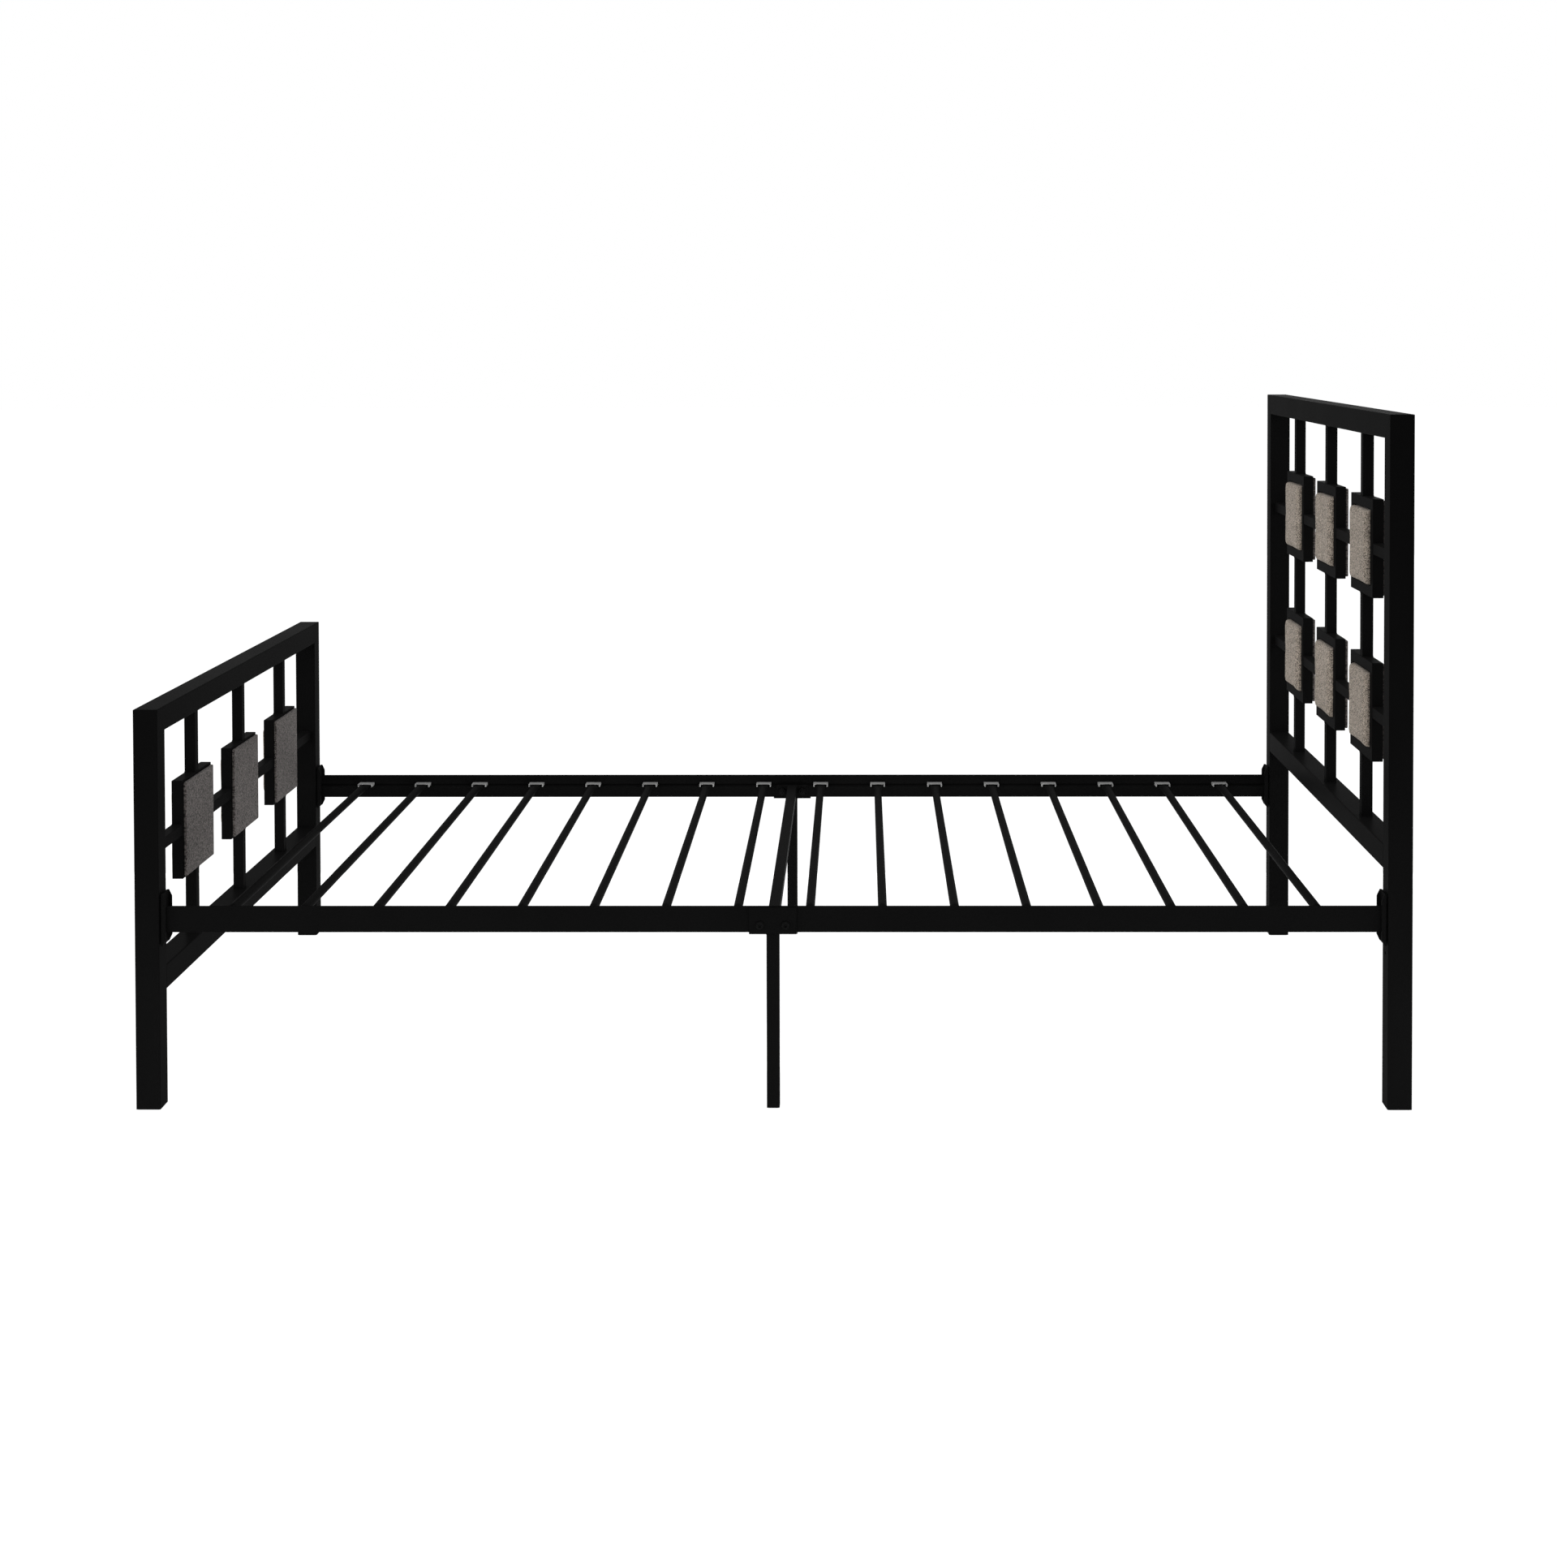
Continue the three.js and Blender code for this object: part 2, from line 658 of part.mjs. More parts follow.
// The cap over a slat's end: a hood with a closed back, open to the slat and below.
// The tongue is pressed in between its sides.
function makeCap() {
  const backY = capBackY();
  const top = roundedRectangle(CAP_WIDTH, 2 * CAP_HEIGHT, CAP_CORNER_RADIUS);
  const hood = extrude(top, CAP_DEPTH);
  hood.rotateX(Math.PI / 2);
  hood.translate(0, backY, 0);
  const side = CAP_WIDTH / 2;
  const insideHalf = TONGUE_WIDTH / 2 - CAP_PRESS;
  const tall = CAP_HEIGHT + PAST;
  const lower = block([-side - PAST, backY - CAP_DEPTH - PAST, -tall], [side + PAST, backY + PAST, 0]);
  const inside = block(
    [-insideHalf, backY - CAP_DEPTH - PAST, -PAST],
    [insideHalf, backY - CAP_WALL, CAP_HEIGHT - CAP_WALL],
  );
  const bottom = LEDGE_TOP + SEAT - SLAT_CENTRE_HEIGHT;
  return cut(solidOf(hood), lower, inside).translate([0, 0, bottom]);
}

// A slat lies along Y, with the axis of its round part at the origin's height.
function makeSlat() {
  const outside = slatSkin(SLAT_FLATS, 0, slatTipY());
  const bore = slatSkin(SLAT_BORE_FLATS, SLAT_WALL, slatTipY() + PAST);
  const cap = makeCap();
  return join(cut(outside, bore), cap, cap.rotate([0, 0, 180]));
}

// ---- Beam, middle legs and bolts ---------------------------------------------------

function boltPlaces() {
  return [-BOLT_SPACING / 2, BOLT_SPACING / 2];
}

// The clearance holes for the bolts of one side, from the leg plate to the beam.
function boltHoles() {
  const inner = RAIL_INNER_Y - BEAM_PLATE_THICKNESS - PAST;
  const outer = RAIL_OUTER_Y + LEG_PLATE_THICKNESS + PAST;
  const diameter = BOLT_DIAMETER + BOLT_HOLE_PLAY;
  const hole = (x) => roundBarAlongY(diameter, SHANK_FLATS, x, BOLT_HEIGHT, inner, outer);
  return boltPlaces().map(hole);
}

// A plate in the XZ plane with rounded corners, from y0 to y1.
function uprightPlate(width, bottom, top, radius, y0, y1) {
  const shape = roundedRectangle(width, top - bottom, radius);
  const plate = new THREE.ExtrudeGeometry(shape, {
    depth: y1 - y0,
    bevelEnabled: false,
    curveSegments: 2,
  });
  plate.rotateX(Math.PI / 2);
  plate.translate(0, y1, (bottom + top) / 2);
  return solidOf(plate);
}

// The beam's tube passes through its end plates, and its ends stay open.
function makeBeam() {
  const plateOuter = RAIL_INNER_Y - SEAT;
  const plateInner = plateOuter - BEAM_PLATE_THICKNESS;
  const centre = BEAM_TOP - BEAM_SIZE / 2;
  const tube = squareTubeAlongY(BEAM_SIZE, BEAM_WALL, RAIL_CORNER_RADIUS, 2 * plateOuter);
  tube.translate(0, 0, centre);
  const bottom = BEAM_TOP - BEAM_PLATE_HEIGHT;
  const hollow = BEAM_SIZE / 2 - BEAM_WALL;
  const plate = cut(
    uprightPlate(BEAM_PLATE_WIDTH, bottom, BEAM_TOP, BEAM_PLATE_RADIUS, plateInner, plateOuter),
    block([-hollow, plateInner - PAST, centre - hollow], [hollow, plateOuter + PAST, centre + hollow]),
    ...boltHoles(),
  );
  return join(solidOf(tube), plate, plate.rotate([0, 0, 180]));
}

// A leg for the left of the bed: a tube under an angle that is bolted to the rail.
function makeCentreLeg() {
  const plateInner = RAIL_OUTER_Y + SEAT;
  const plateOuter = plateInner + LEG_PLATE_THICKNESS;
  const shelfTop = RAIL_BOTTOM - SEAT;
  const shelfBottom = shelfTop - LEG_PLATE_THICKNESS;
  const top = shelfBottom + LEG_PLATE_HEIGHT;
  const plate = uprightPlate(
    LEG_PLATE_WIDTH, shelfBottom, top, LEG_PLATE_RADIUS, plateInner, plateOuter,
  );
  const shelf = block(
    [-LEG_PLATE_WIDTH / 2 + LEG_PLATE_RADIUS, RAIL_INNER_Y, shelfBottom],
    [LEG_PLATE_WIDTH / 2 - LEG_PLATE_RADIUS, plateInner + WELD, shelfTop],
  );
  const height = shelfBottom + WELD - PLUG_PROUD;
  const tube = squareTube(LEG_SIZE, LEG_WALL, LEG_CORNER_RADIUS, height);
  tube.translate(0, LEG_CENTRE_Y, PLUG_PROUD);
  return cut(join(plate, shelf, solidOf(tube)), ...boltHoles());
}

// A dome-headed bolt with its nut, along Y. The underside of its head is at the
// origin and its shank runs to -Y.
function makeBolt() {
  const grip = 3 * SEAT + LEG_PLATE_THICKNESS + RAIL_WIDTH + BEAM_PLATE_THICKNESS + SEAT;
  const headRadius = BOLT_HEAD_DIAMETER / 2;
  const flatRadius = BOLT_HEAD_FLAT / 2;
  const domeWidth = headRadius - flatRadius;
  const domeHeight = BOLT_HEAD_HEIGHT - BOLT_HEAD_RIM;
  const dome = new THREE.EllipseCurve(
    flatRadius, BOLT_HEAD_RIM, domeWidth, domeHeight, 0, Math.PI / 2,
  );
  const profile = [
    new THREE.Vector2(0, 0),
    new THREE.Vector2(headRadius, 0),
    ...dome.getPoints(3),
    new THREE.Vector2(0, BOLT_HEAD_HEIGHT),
  ];
  const head = solidOf(new THREE.LatheGeometry(profile, BOLT_HEAD_FLATS));
  const socketBottom = BOLT_HEAD_HEIGHT - BOLT_SOCKET_DEPTH;
  const socketTop = BOLT_HEAD_HEIGHT + PAST;
  const socket = roundBarAlongY(BOLT_SOCKET_ACROSS_CORNERS, 6, 0, 0, socketBottom, socketTop);
  const nutEnd = -grip - NUT_HEIGHT;
  const shank = roundBarAlongY(BOLT_DIAMETER, SHANK_FLATS, 0, 0, nutEnd - BOLT_END, WELD);
  const nut = roundBarAlongY(NUT_ACROSS_CORNERS, 6, 0, 0, nutEnd, -grip);
  return join(cut(head, socket), shank, nut);
}

// ---- Foot plugs --------------------------------------------------------------------

// A plug pushed into the bottom of a square tube: a cup that stands on its closed
// end, a little proud of the tube.
function makePlug(tubeSize, tubeWall) {
  const size = tubeSize - 2 * tubeWall - 2 * SEAT;
  const cup = extrude(roundedRectangle(size, size, PLUG_CORNER_RADIUS), PLUG_HEIGHT);
  const inside = size / 2 - PLUG_WALL;
  return cut(
    solidOf(cup),
    block([-inside, -inside, PLUG_WALL], [inside, inside, PLUG_HEIGHT + PAST]),
  );
}

// ---- Assembly ------------------------------------------------------------------------

const LEFT_AND_RIGHT = [['left', 1], ['right', -1]];

// One board: end is 1 at the head and -1 at the foot.
function addBoard(name, end, height, lowerRailTop, rows, boardLook) {
  const x = end * POST_X;
  const topRailBottom = height - POST_SIZE;
  for (const [sideName, side] of LEFT_AND_RIGHT) {
    const turn = end > 0 ? 0 : Math.PI;
    const post = makePost(height, end * side, end > 0);
    addPiece(`${name}_post_${sideName}`, post, 'frame', [x, side * POST_Y, 0], turn);
    const plug = makePlug(POST_SIZE, POST_WALL);
    addPiece(`${name}_plug_${sideName}`, plug, 'plug', [x, side * POST_Y, 0]);
  }
  addPiece(`${name}_top_rail`, makeTopRail(), 'frame', [x, 0, height - POST_SIZE / 2]);
  addPiece(`${name}_lower_rail`, makeLowerRail(), 'frame', [x, 0, lowerRailTop - POST_SIZE / 2]);
  const grille = makeGrille(rows, lowerRailTop, topRailBottom);
  addPiece(`${name}_grille`, grille, 'frame', [x, 0, 0]);
  const { columns, levels } = ringPlaces(rows, lowerRailTop, topRailBottom);
  const ringBack = x + RING_BAR / 2;
  const places = levels.toReversed().flatMap((z) => columns.toReversed().map((y) => [y, z]));
  places.forEach(([y, z], index) => {
    const number = index + 1;
    addPiece(`${name}_cushion_${number}`, makeCushion(), 'beige', [ringBack, y, z]);
    addPiece(`${name}_back_board_${number}`, makeBackBoard(), boardLook, [ringBack + SEAT, y, z]);
  });
}

addBoard('head', 1, HEAD_HEIGHT, HEAD_LOWER_RAIL_TOP, HEAD_RING_ROWS, 'grey');
addBoard('foot', -1, FOOT_HEIGHT, FOOT_LOWER_RAIL_TOP, FOOT_RING_ROWS, 'grey');

for (const [sideName, side] of LEFT_AND_RIGHT) {
  const turn = side > 0 ? 0 : Math.PI;
  addPiece(`side_rail_${sideName}`, makeSideRail(), 'frame', [0, 0, 0], turn);
  addPiece(`centre_leg_${sideName}`, makeCentreLeg(), 'frame', [0, 0, 0], turn);
  const plug = makePlug(LEG_SIZE, LEG_WALL);
  addPiece(`centre_plug_${sideName}`, plug, 'plug', [0, side * LEG_CENTRE_Y, 0]);
  boltPlaces().forEach((x, index) => {
    const underHead = side * (RAIL_OUTER_Y + 2 * SEAT + LEG_PLATE_THICKNESS);
    const name = `leg_bolt_${sideName}_${index + 1}`;
    addPiece(name, makeBolt(), 'bolt', [x, underHead, BOLT_HEIGHT], turn);
  });
}

addPiece('centre_beam', makeBeam(), 'frame', [0, 0, 0]);

for (let index = 0; index < SLAT_COUNT; index++) {
  const x = (index - (SLAT_COUNT - 1) / 2) * SLAT_PITCH;
  const number = String(index + 1).padStart(2, '0');
  addPiece(`slat_${number}`, makeSlat(), 'slat', [x, 0, SLAT_CENTRE_HEIGHT]);
}

export default bed;
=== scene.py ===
# Looks of a twin metal bed frame: black powder-coated tube, padded squares held in
# square rings, round slats in plastic caps, and bolted middle legs.
#
# Lengths are in metres. +Z is up, +X points to the headboard and +Y to the left of
# someone who stands at the foot and looks at the headboard.

import math

import bmesh
import bpy
import numpy as np
from mathutils import Matrix, Vector


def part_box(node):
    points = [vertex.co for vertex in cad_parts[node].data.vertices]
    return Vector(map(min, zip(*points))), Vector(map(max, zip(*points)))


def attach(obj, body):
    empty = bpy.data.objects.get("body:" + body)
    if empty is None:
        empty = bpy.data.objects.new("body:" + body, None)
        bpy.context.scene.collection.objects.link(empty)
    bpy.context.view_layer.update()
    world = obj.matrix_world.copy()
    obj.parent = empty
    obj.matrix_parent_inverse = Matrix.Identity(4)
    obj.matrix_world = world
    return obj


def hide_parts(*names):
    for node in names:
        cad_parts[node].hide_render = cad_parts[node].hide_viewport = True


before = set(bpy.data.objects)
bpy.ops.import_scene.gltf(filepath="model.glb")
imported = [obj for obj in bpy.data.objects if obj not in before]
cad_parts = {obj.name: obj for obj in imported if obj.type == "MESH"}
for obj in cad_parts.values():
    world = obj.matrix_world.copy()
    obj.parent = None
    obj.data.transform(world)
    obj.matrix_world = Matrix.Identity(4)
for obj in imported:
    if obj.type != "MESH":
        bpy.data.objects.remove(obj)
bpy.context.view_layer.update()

# ---- Sizes of the parts ----

MM = 0.001

SEAT = 0.3 * MM  # clearance between pieces that touch
CUT_PAST = 2 * MM  # how far a cutter reaches past what it cuts
TUBE_INNER_CORNER = 0.4 * MM

POST_SIZE = 38.1 * MM
POST_WALL = 1.5 * MM
POST_CORNER = 1.7 * MM
MITRE_GAP = 0.05 * MM
POST_HOLE_HEIGHT = 241 * MM
POST_HOLE_RADIUS = 3 * MM
POST_CUT_DEPTH = 4 * MM

RING_SIZE = 160 * MM
RING_BAR = 18 * MM
RING_CORNER = 0.9 * MM
RING_EDGE = 0.45 * MM
RING_COLUMNS = 3

RAIL_HEIGHT = 41.3 * MM
RAIL_WIDTH = 19 * MM
RAIL_FLANGE = 3 * MM
RAIL_LEDGE = 20.8 * MM
RAIL_CORNER = 1.5 * MM
RAIL_INNER_CORNER = 0.8 * MM

BRACKET_WIDTH = 36 * MM
BRACKET_HEIGHT = 80.4 * MM
BRACKET_DEPTH = 8.3 * MM
BRACKET_PLATE = 3 * MM
BRACKET_GAP = 1.5 * MM
BRACKET_BEND = 3.6 * MM
BRACKET_SHOULDER = 3.5 * MM
BRACKET_CHAMFER_SLOPE = 10.2 / 4.8
BRACKET_EDGE = 0.6 * MM

HOOK_COUNT = 2
HOOK_THICKNESS = 3 * MM
HOOK_ROOT = 0.5 * MM
HOOK_NECK = 12 * MM
HOOK_DROP = 8 * MM
HOOK_REACH = 6 * MM
HOOK_PITCH = 34 * MM
HOOK_FIRST_HEIGHT = 15 * MM
HOOK_PLAY = 1.2 * MM
HOOK_EDGE = 0.3 * MM

SLAT_COUNT = 16
SLAT_PITCH = 114 * MM
SLAT_RADIUS = 7.15 * MM
SLAT_HEIGHT = 299.4 * MM
TONGUE_HALF_WIDTH = 9.0 * MM
TONGUE_HALF_THICKNESS = 1.7 * MM
TONGUE_ROUNDNESS = 0.4
TONGUE_LENGTH = 28 * MM
TONGUE_PLAY = 0.2 * MM
SWAGE_LENGTH = 28 * MM
CAP_WIDTH = 29.2 * MM
CAP_DEPTH = 20 * MM
CAP_HEIGHT = 5.8 * MM
CAP_WALL = 2.4 * MM
CAP_LIP = 1.2 * MM
CAP_LEG = 2.7 * MM
CAP_EDGE = 0.5 * MM

LEG_SIZE = 20 * MM
LEG_WALL = 1.2 * MM
LEG_CORNER = 1.5 * MM
LEG_INSET = 11 * MM
LEG_TOP_GAP = 0.1 * MM
ANGLE_HALF_WIDTH = 37 * MM
ANGLE_HEIGHT = 42 * MM
ANGLE_PLATE = 2.5 * MM
ANGLE_BEND = 2.8 * MM
ANGLE_INNER_BEND = 0.5 * MM
ANGLE_EDGE = 0.4 * MM

BEAM_SIZE = 18 * MM
BEAM_CORNER = 1.5 * MM
BEAM_PLATE_WIDTH = 64 * MM
BEAM_PLATE_HEIGHT = 22 * MM
BEAM_PLATE = 2.5 * MM
BEAM_PLATE_CORNER = 4 * MM
BEAM_PLATE_EDGE = 0.3 * MM

BOLT_SPACING = 40 * MM
BOLT_HEIGHT = 287.8 * MM
BOLT_RADIUS = 4 * MM
BOLT_HOLE_RADIUS = 4.45 * MM
BOLT_HOLE_PAST = 10 * MM
BOLT_END = 2 * MM
BOLT_END_CHAMFER = 0.8 * MM
THREAD_PITCH = 1.25 * MM
THREAD_DEPTH = 0.45 * MM
THREAD_RUNOUT = 0.6 * MM
HEAD_RADIUS = 6.5 * MM
HEAD_HEIGHT = 4.4 * MM
HEAD_RIM = 1.0 * MM
HEAD_FLAT = 3.4 * MM
HEAD_EDGE = 0.2 * MM
HEAD_OVERLAP = 0.2 * MM
SOCKET_RADIUS = 2.9 * MM
SOCKET_DEPTH = 2.4 * MM
NUT_RADIUS = 7.2 * MM
NUT_HEIGHT = 6.5 * MM
NUT_CHAMFER = ((0.0, 0.87), (0.35 * MM, 0.92), (0.8 * MM, 0.965), (1.3 * MM, 1.0))

PLUG_HEIGHT = 18 * MM
PLUG_WALL = 2.4 * MM
PLUG_CORNER = 1.2 * MM
PLUG_EDGE = 0.8 * MM
PLUG_LEAD = 0.6 * MM
PLUG_TAPER = 1.0 * MM

BEAD_SINK = 0.2 * MM  # from a bead's middle line to the end of its bar
BOARD_RAIL_BEAD = 1.3 * MM
SIDE_RAIL_BEAD = 1.1 * MM
MIDDLE_BEAD = 1.0 * MM  # on the middle legs and the beam
BAR_BEAD = 0.8 * MM
BAR_BEAD_SINK = 0.15 * MM

PAD_INSET = 0.6 * MM
PAD_ROLL = 10 * MM
PAD_CORNER = 3.5 * MM
PAD_CORNER_FALL = 0.2  # how much of the roll's pull the corner loses
PAD_PRESS = 2.2 * MM  # how much a pad spreads before its ring holds it back
PAD_SLACK = -0.5 * MM  # where the ring stops it, from the solid's side
PAD_EASE = 1.2 * MM  # how softly it is stopped
PAD_PINNED = 7 * MM
COVER_MESH = 4 * MM
COVER_SWELL = 2.2 * MM
COVER_MOMENTS = 20
COVER_CLOTH = {
    "quality": 6, "mass": 0.3, "tension_stiffness": 25, "compression_stiffness": 25,
    "bending_stiffness": 2, "use_pressure": True, "uniform_pressure_force": 4.0,
}

BOARD_CORNER = 2.4 * MM
BOARD_ROLL = 1.7 * MM

root = "root"


# ---- Places taken from the solids ----

def centre(node):
    """The middle of a node's box."""
    low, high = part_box(node)
    return [(a + b) / 2 for a, b in zip(low, high)]


head_post_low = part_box("head_post_left")[0]
leg_low, leg_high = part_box("centre_leg_left")

inner_y = head_post_low.y
post_y = inner_y + POST_SIZE / 2
bracket_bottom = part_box("side_rail_left")[0].z
bracket_back_x = head_post_low.x - BRACKET_GAP
angle_bottom = leg_high.z - ANGLE_HEIGHT
angle_outer_y = leg_high.y
angle_inner_y = angle_outer_y - ANGLE_PLATE
rail_bottom = angle_bottom + ANGLE_PLATE + SEAT
rail_outer_y = angle_inner_y - SEAT
rail_inner_y = rail_outer_y - RAIL_WIDTH
leg_y = rail_outer_y - LEG_INSET


# ---- Making plain meshes ----

def link(name, data):
    piece = bpy.data.objects.new(name, data)
    bpy.context.scene.collection.objects.link(piece)
    return piece


def skinned(name, rings, joined=False):
    """A skin from ring to ring of points. Its two ends are closed, or joined to each
    other."""
    count = len(rings[0])
    points = [tuple(point) for ring in rings for point in ring]
    firsts = list(range(0, len(points), count))
    nexts = firsts[1:] + firsts[:1] if joined else firsts[1:]
    faces = []
    for one, other in zip(firsts, nexts):
        for i in range(count):
            j = (i + 1) % count
            faces.append((one + i, one + j, other + j, other + i))
    if not joined:
        faces += [tuple(range(first, first + count)) for first in (firsts[0], firsts[-1])]
    mesh = bpy.data.meshes.new(name)
    mesh.from_pydata(points, [], faces)
    made = bmesh.new()
    made.from_mesh(mesh)
    bmesh.ops.remove_doubles(made, verts=made.verts, dist=1e-6)
    bmesh.ops.recalc_face_normals(made, faces=made.faces)
    made.to_mesh(mesh)
    made.free()
    return link(name, mesh)


def rounded_loop(width, height, radius, steps):
    """Points round a rectangle with rounded corners, centred on the origin."""
    points = []
    for quarter, (cx, cy) in enumerate(((1, 1), (-1, 1), (-1, -1), (1, -1))):
        for i in range(steps + 1):
            angle = (quarter + i / steps) * math.pi / 2
            x = cx * (width / 2 - radius) + radius * math.cos(angle)
            y = cy * (height / 2 - radius) + radius * math.sin(angle)
            points.append((x, y))
    return points


def arc(cx, cy, radius, start, end, steps=5):
    """Points along an arc between two angles in degrees."""
    angles = (math.radians(start + (end - start) * i / steps) for i in range(steps + 1))
    return [(cx + radius * math.cos(angle), cy + radius * math.sin(angle)) for angle in angles]


def rolled_edge(radius, steps):
    """How far each step of a rolled edge is from the face, and from the side."""
    angles = [i / steps * math.pi / 2 for i in range(steps + 1)]
    return [(radius * (1 - math.sin(angle)), radius * (1 - math.cos(angle)))
            for angle in angles]


def upright(x, y):
    """Turns a point of a section and a distance along a piece that stands into a
    place in the bed."""
    return lambda a, b, t: (x + a, y + b, t)


def crosswise(x, z):
    """The same for a piece that lies across the bed."""
    return lambda a, b, t: (x + a, t, z + b)


def lengthwise(y, z):
    """The same for a piece that lies along the bed."""
    return lambda a, b, t: (t, y + a, z + b)


def make_box(name, low, high):
    outline = ((low[0], low[1]), (high[0], low[1]), (high[0], high[1]), (low[0], high[1]))
    return skinned(name, [[(x, y, z) for x, y in outline] for z in (low[2], high[2])])


def make_tube(name, size, wall, corner, place, start, end, slopes=(0, 0)):
    """A hollow square tube between two distances, each cut square or at a slope."""
    hollow = size - 2 * wall
    outside = rounded_loop(size, size, corner, 5)
    inside = rounded_loop(hollow, hollow, TUBE_INNER_CORNER, 5)
    first, last = (start, slopes[0]), (end, slopes[1])
    rings = [[place(a, b, stop + slope * b) for a, b in section] for section, (stop, slope) in
             ((outside, first), (outside, last), (inside, last), (inside, first))]
    return skinned(name, rings, joined=True)


def make_prism(name, section, place, start, end):
    """A closed bar of any section between two distances."""
    return skinned(name, [[place(a, b, t) for a, b in section] for t in (start, end)])


def make_turning(name, rows, place, sides, flats=None):
    """A closed shape turned on a lathe from rows of radius and distance. flats gives
    how far it may reach at an angle."""
    rings = []
    for radius, t in rows:
        ring = []
        for i in range(sides):
            angle = i / sides * 2 * math.pi
            reach = min(flats(angle), radius) if flats else radius
            ring.append(place(reach * math.cos(angle), reach * math.sin(angle), t))
        rings.append(ring)
    return skinned(name, rings)


def settle(piece):
    """Turns a piece and its modifiers into one plain mesh."""
    bpy.context.view_layer.update()
    graph = bpy.context.evaluated_depsgraph_get()
    mesh = bpy.data.meshes.new_from_object(
        piece.evaluated_get(graph), preserve_all_data_layers=True, depsgraph=graph)
    piece.modifiers.clear()
    old = piece.data
    piece.data = mesh
    mesh.name = piece.name
    bpy.data.meshes.remove(old)
    return piece


def soften(piece, width, steps=2, angle=40):
    """Breaks the sharp edges of a moulded or coated piece."""
    edge = piece.modifiers.new("soft edge", "BEVEL")
    edge.width = width
    edge.segments = steps
    edge.limit_method = "ANGLE"
    edge.angle_limit = math.radians(angle)
    return settle(piece)


def shade(piece, angle=35):
    """Shades a piece smooth, with creases kept sharp and flats kept flat."""
    piece.data.shade_smooth()
    piece.data.set_sharp_from_angle(angle=math.radians(angle))
    weighted = piece.modifiers.new("flat faces", "WEIGHTED_NORMAL")
    weighted.keep_sharp = True
    weighted.weight = 80
    return settle(piece)


def discard(piece):
    mesh = piece.data
    bpy.data.objects.remove(piece)
    bpy.data.meshes.remove(mesh)


def cut(piece, cutters):
    """Cuts the cutters out of a piece and removes them."""
    for cutter in cutters:
        hole = piece.modifiers.new("hole", "BOOLEAN")
        hole.operation = "DIFFERENCE"
        hole.solver = "EXACT"
        hole.object = cutter
    settle(piece)
    for cutter in cutters:
        discard(cutter)
    return piece


def merged(name, pieces):
    """Joins several pieces into one, which gets its finish later."""
    whole = bmesh.new()
    for piece in pieces:
        whole.from_mesh(piece.data)
    mesh = bpy.data.meshes.new(name)
    whole.to_mesh(mesh)
    whole.free()
    for piece in pieces:
        discard(piece)
    return link(name, mesh)


def turned_copy(piece, name, move=(0, 0, 0)):
    """A copy turned half round the upright axis through the origin, then moved."""
    mesh = piece.data.copy()
    mesh.transform(Matrix.Translation(move) @ Matrix.Rotation(math.pi, 4, "Z"))
    return link(name, mesh)


def points_of(piece):
    """The places of a piece's points, one to a row."""
    mesh = piece.data
    places = np.empty(len(mesh.vertices) * 3)
    mesh.vertices.foreach_get("co", places)
    return places.reshape(-1, 3)


def put_points(piece, places):
    piece.data.vertices.foreach_set("co", places.ravel())
    piece.data.update()


def finished(piece, look, replaces):
    """Gives a piece its finish and hands it to the frame."""
    piece.data.materials.clear()
    piece.data.materials.append(look)
    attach(piece, root)
    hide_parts(*replaces)


def coated(piece, node):
    """Finishes a piece of the coated frame."""
    finished(shade(piece), frame_coat, [node])


# ---- Node trees ----

FLOAT = "NodeSocketFloat"
WHOLE = "NodeSocketInt"
VECTOR = "NodeSocketVector"
COLOUR = "NodeSocketColor"
SHAPE = "NodeSocketGeometry"
FINISH = "NodeSocketMaterial"


class Nodes:
    """Adds nodes to a tree and joins them in one call."""

    def __init__(self, tree):
        self.tree = tree

    def feed(self, socket, value):
        """Joins a socket to another, or sets its own value."""
        if isinstance(value, bpy.types.NodeSocket):
            self.tree.links.new(value, socket)
        else:
            socket.default_value = value

    def fill(self, sockets, **values):
        """Feeds sockets by name, with _ for each space."""
        for label, value in values.items():
            self.feed(sockets[label.replace("_", " ")], value)

    def add(self, kind, settings=None, **inputs):
        node = self.tree.nodes.new(kind)
        for key, value in (settings or {}).items():
            setattr(node, key, value)
        self.fill(node.inputs, **inputs)
        return node

    def maths(self, operation, *values, clamp=False):
        node = self.add("ShaderNodeMath", {"operation": operation, "use_clamp": clamp})
        for socket, value in zip(node.inputs, values):
            self.feed(socket, value)
        return node.outputs[0]

    def vectors(self, operation, *values, **inputs):
        node = self.add("ShaderNodeVectorMath", {"operation": operation}, **inputs)
        for socket, value in zip(node.inputs, values):
            self.feed(socket, value)
        return node.outputs[0]

    def blend(self, share, one, other, kind="RGBA"):
        node = self.add("ShaderNodeMix", {"data_type": kind})
        first, second, mixed = {"RGBA": (6, 7, 2), "FLOAT": (2, 3, 0)}[kind]
        for socket, value in ((0, share), (first, one), (second, other)):
            self.feed(node.inputs[socket], value)
        return node.outputs[mixed]

    def noise(self, where, scale, detail=2.0, roughness=0.5):
        return self.add("ShaderNodeTexNoise", Vector=where, Scale=scale, Detail=detail,
                        Roughness=roughness).outputs["Fac"]


def new_group(name, kind, inputs, outputs):
    """A node group: its nodes, what it is given and what it gives back."""
    group = bpy.data.node_groups.new(name, kind)
    for label, socket_type, value in inputs:
        socket = group.interface.new_socket(label, in_out="INPUT", socket_type=socket_type)
        if value is not None:
            socket.default_value = value
    for label, socket_type in outputs:
        group.interface.new_socket(label, in_out="OUTPUT", socket_type=socket_type)
    nodes = Nodes(group)
    return nodes, nodes.add("NodeGroupInput").outputs, nodes.add("NodeGroupOutput").inputs


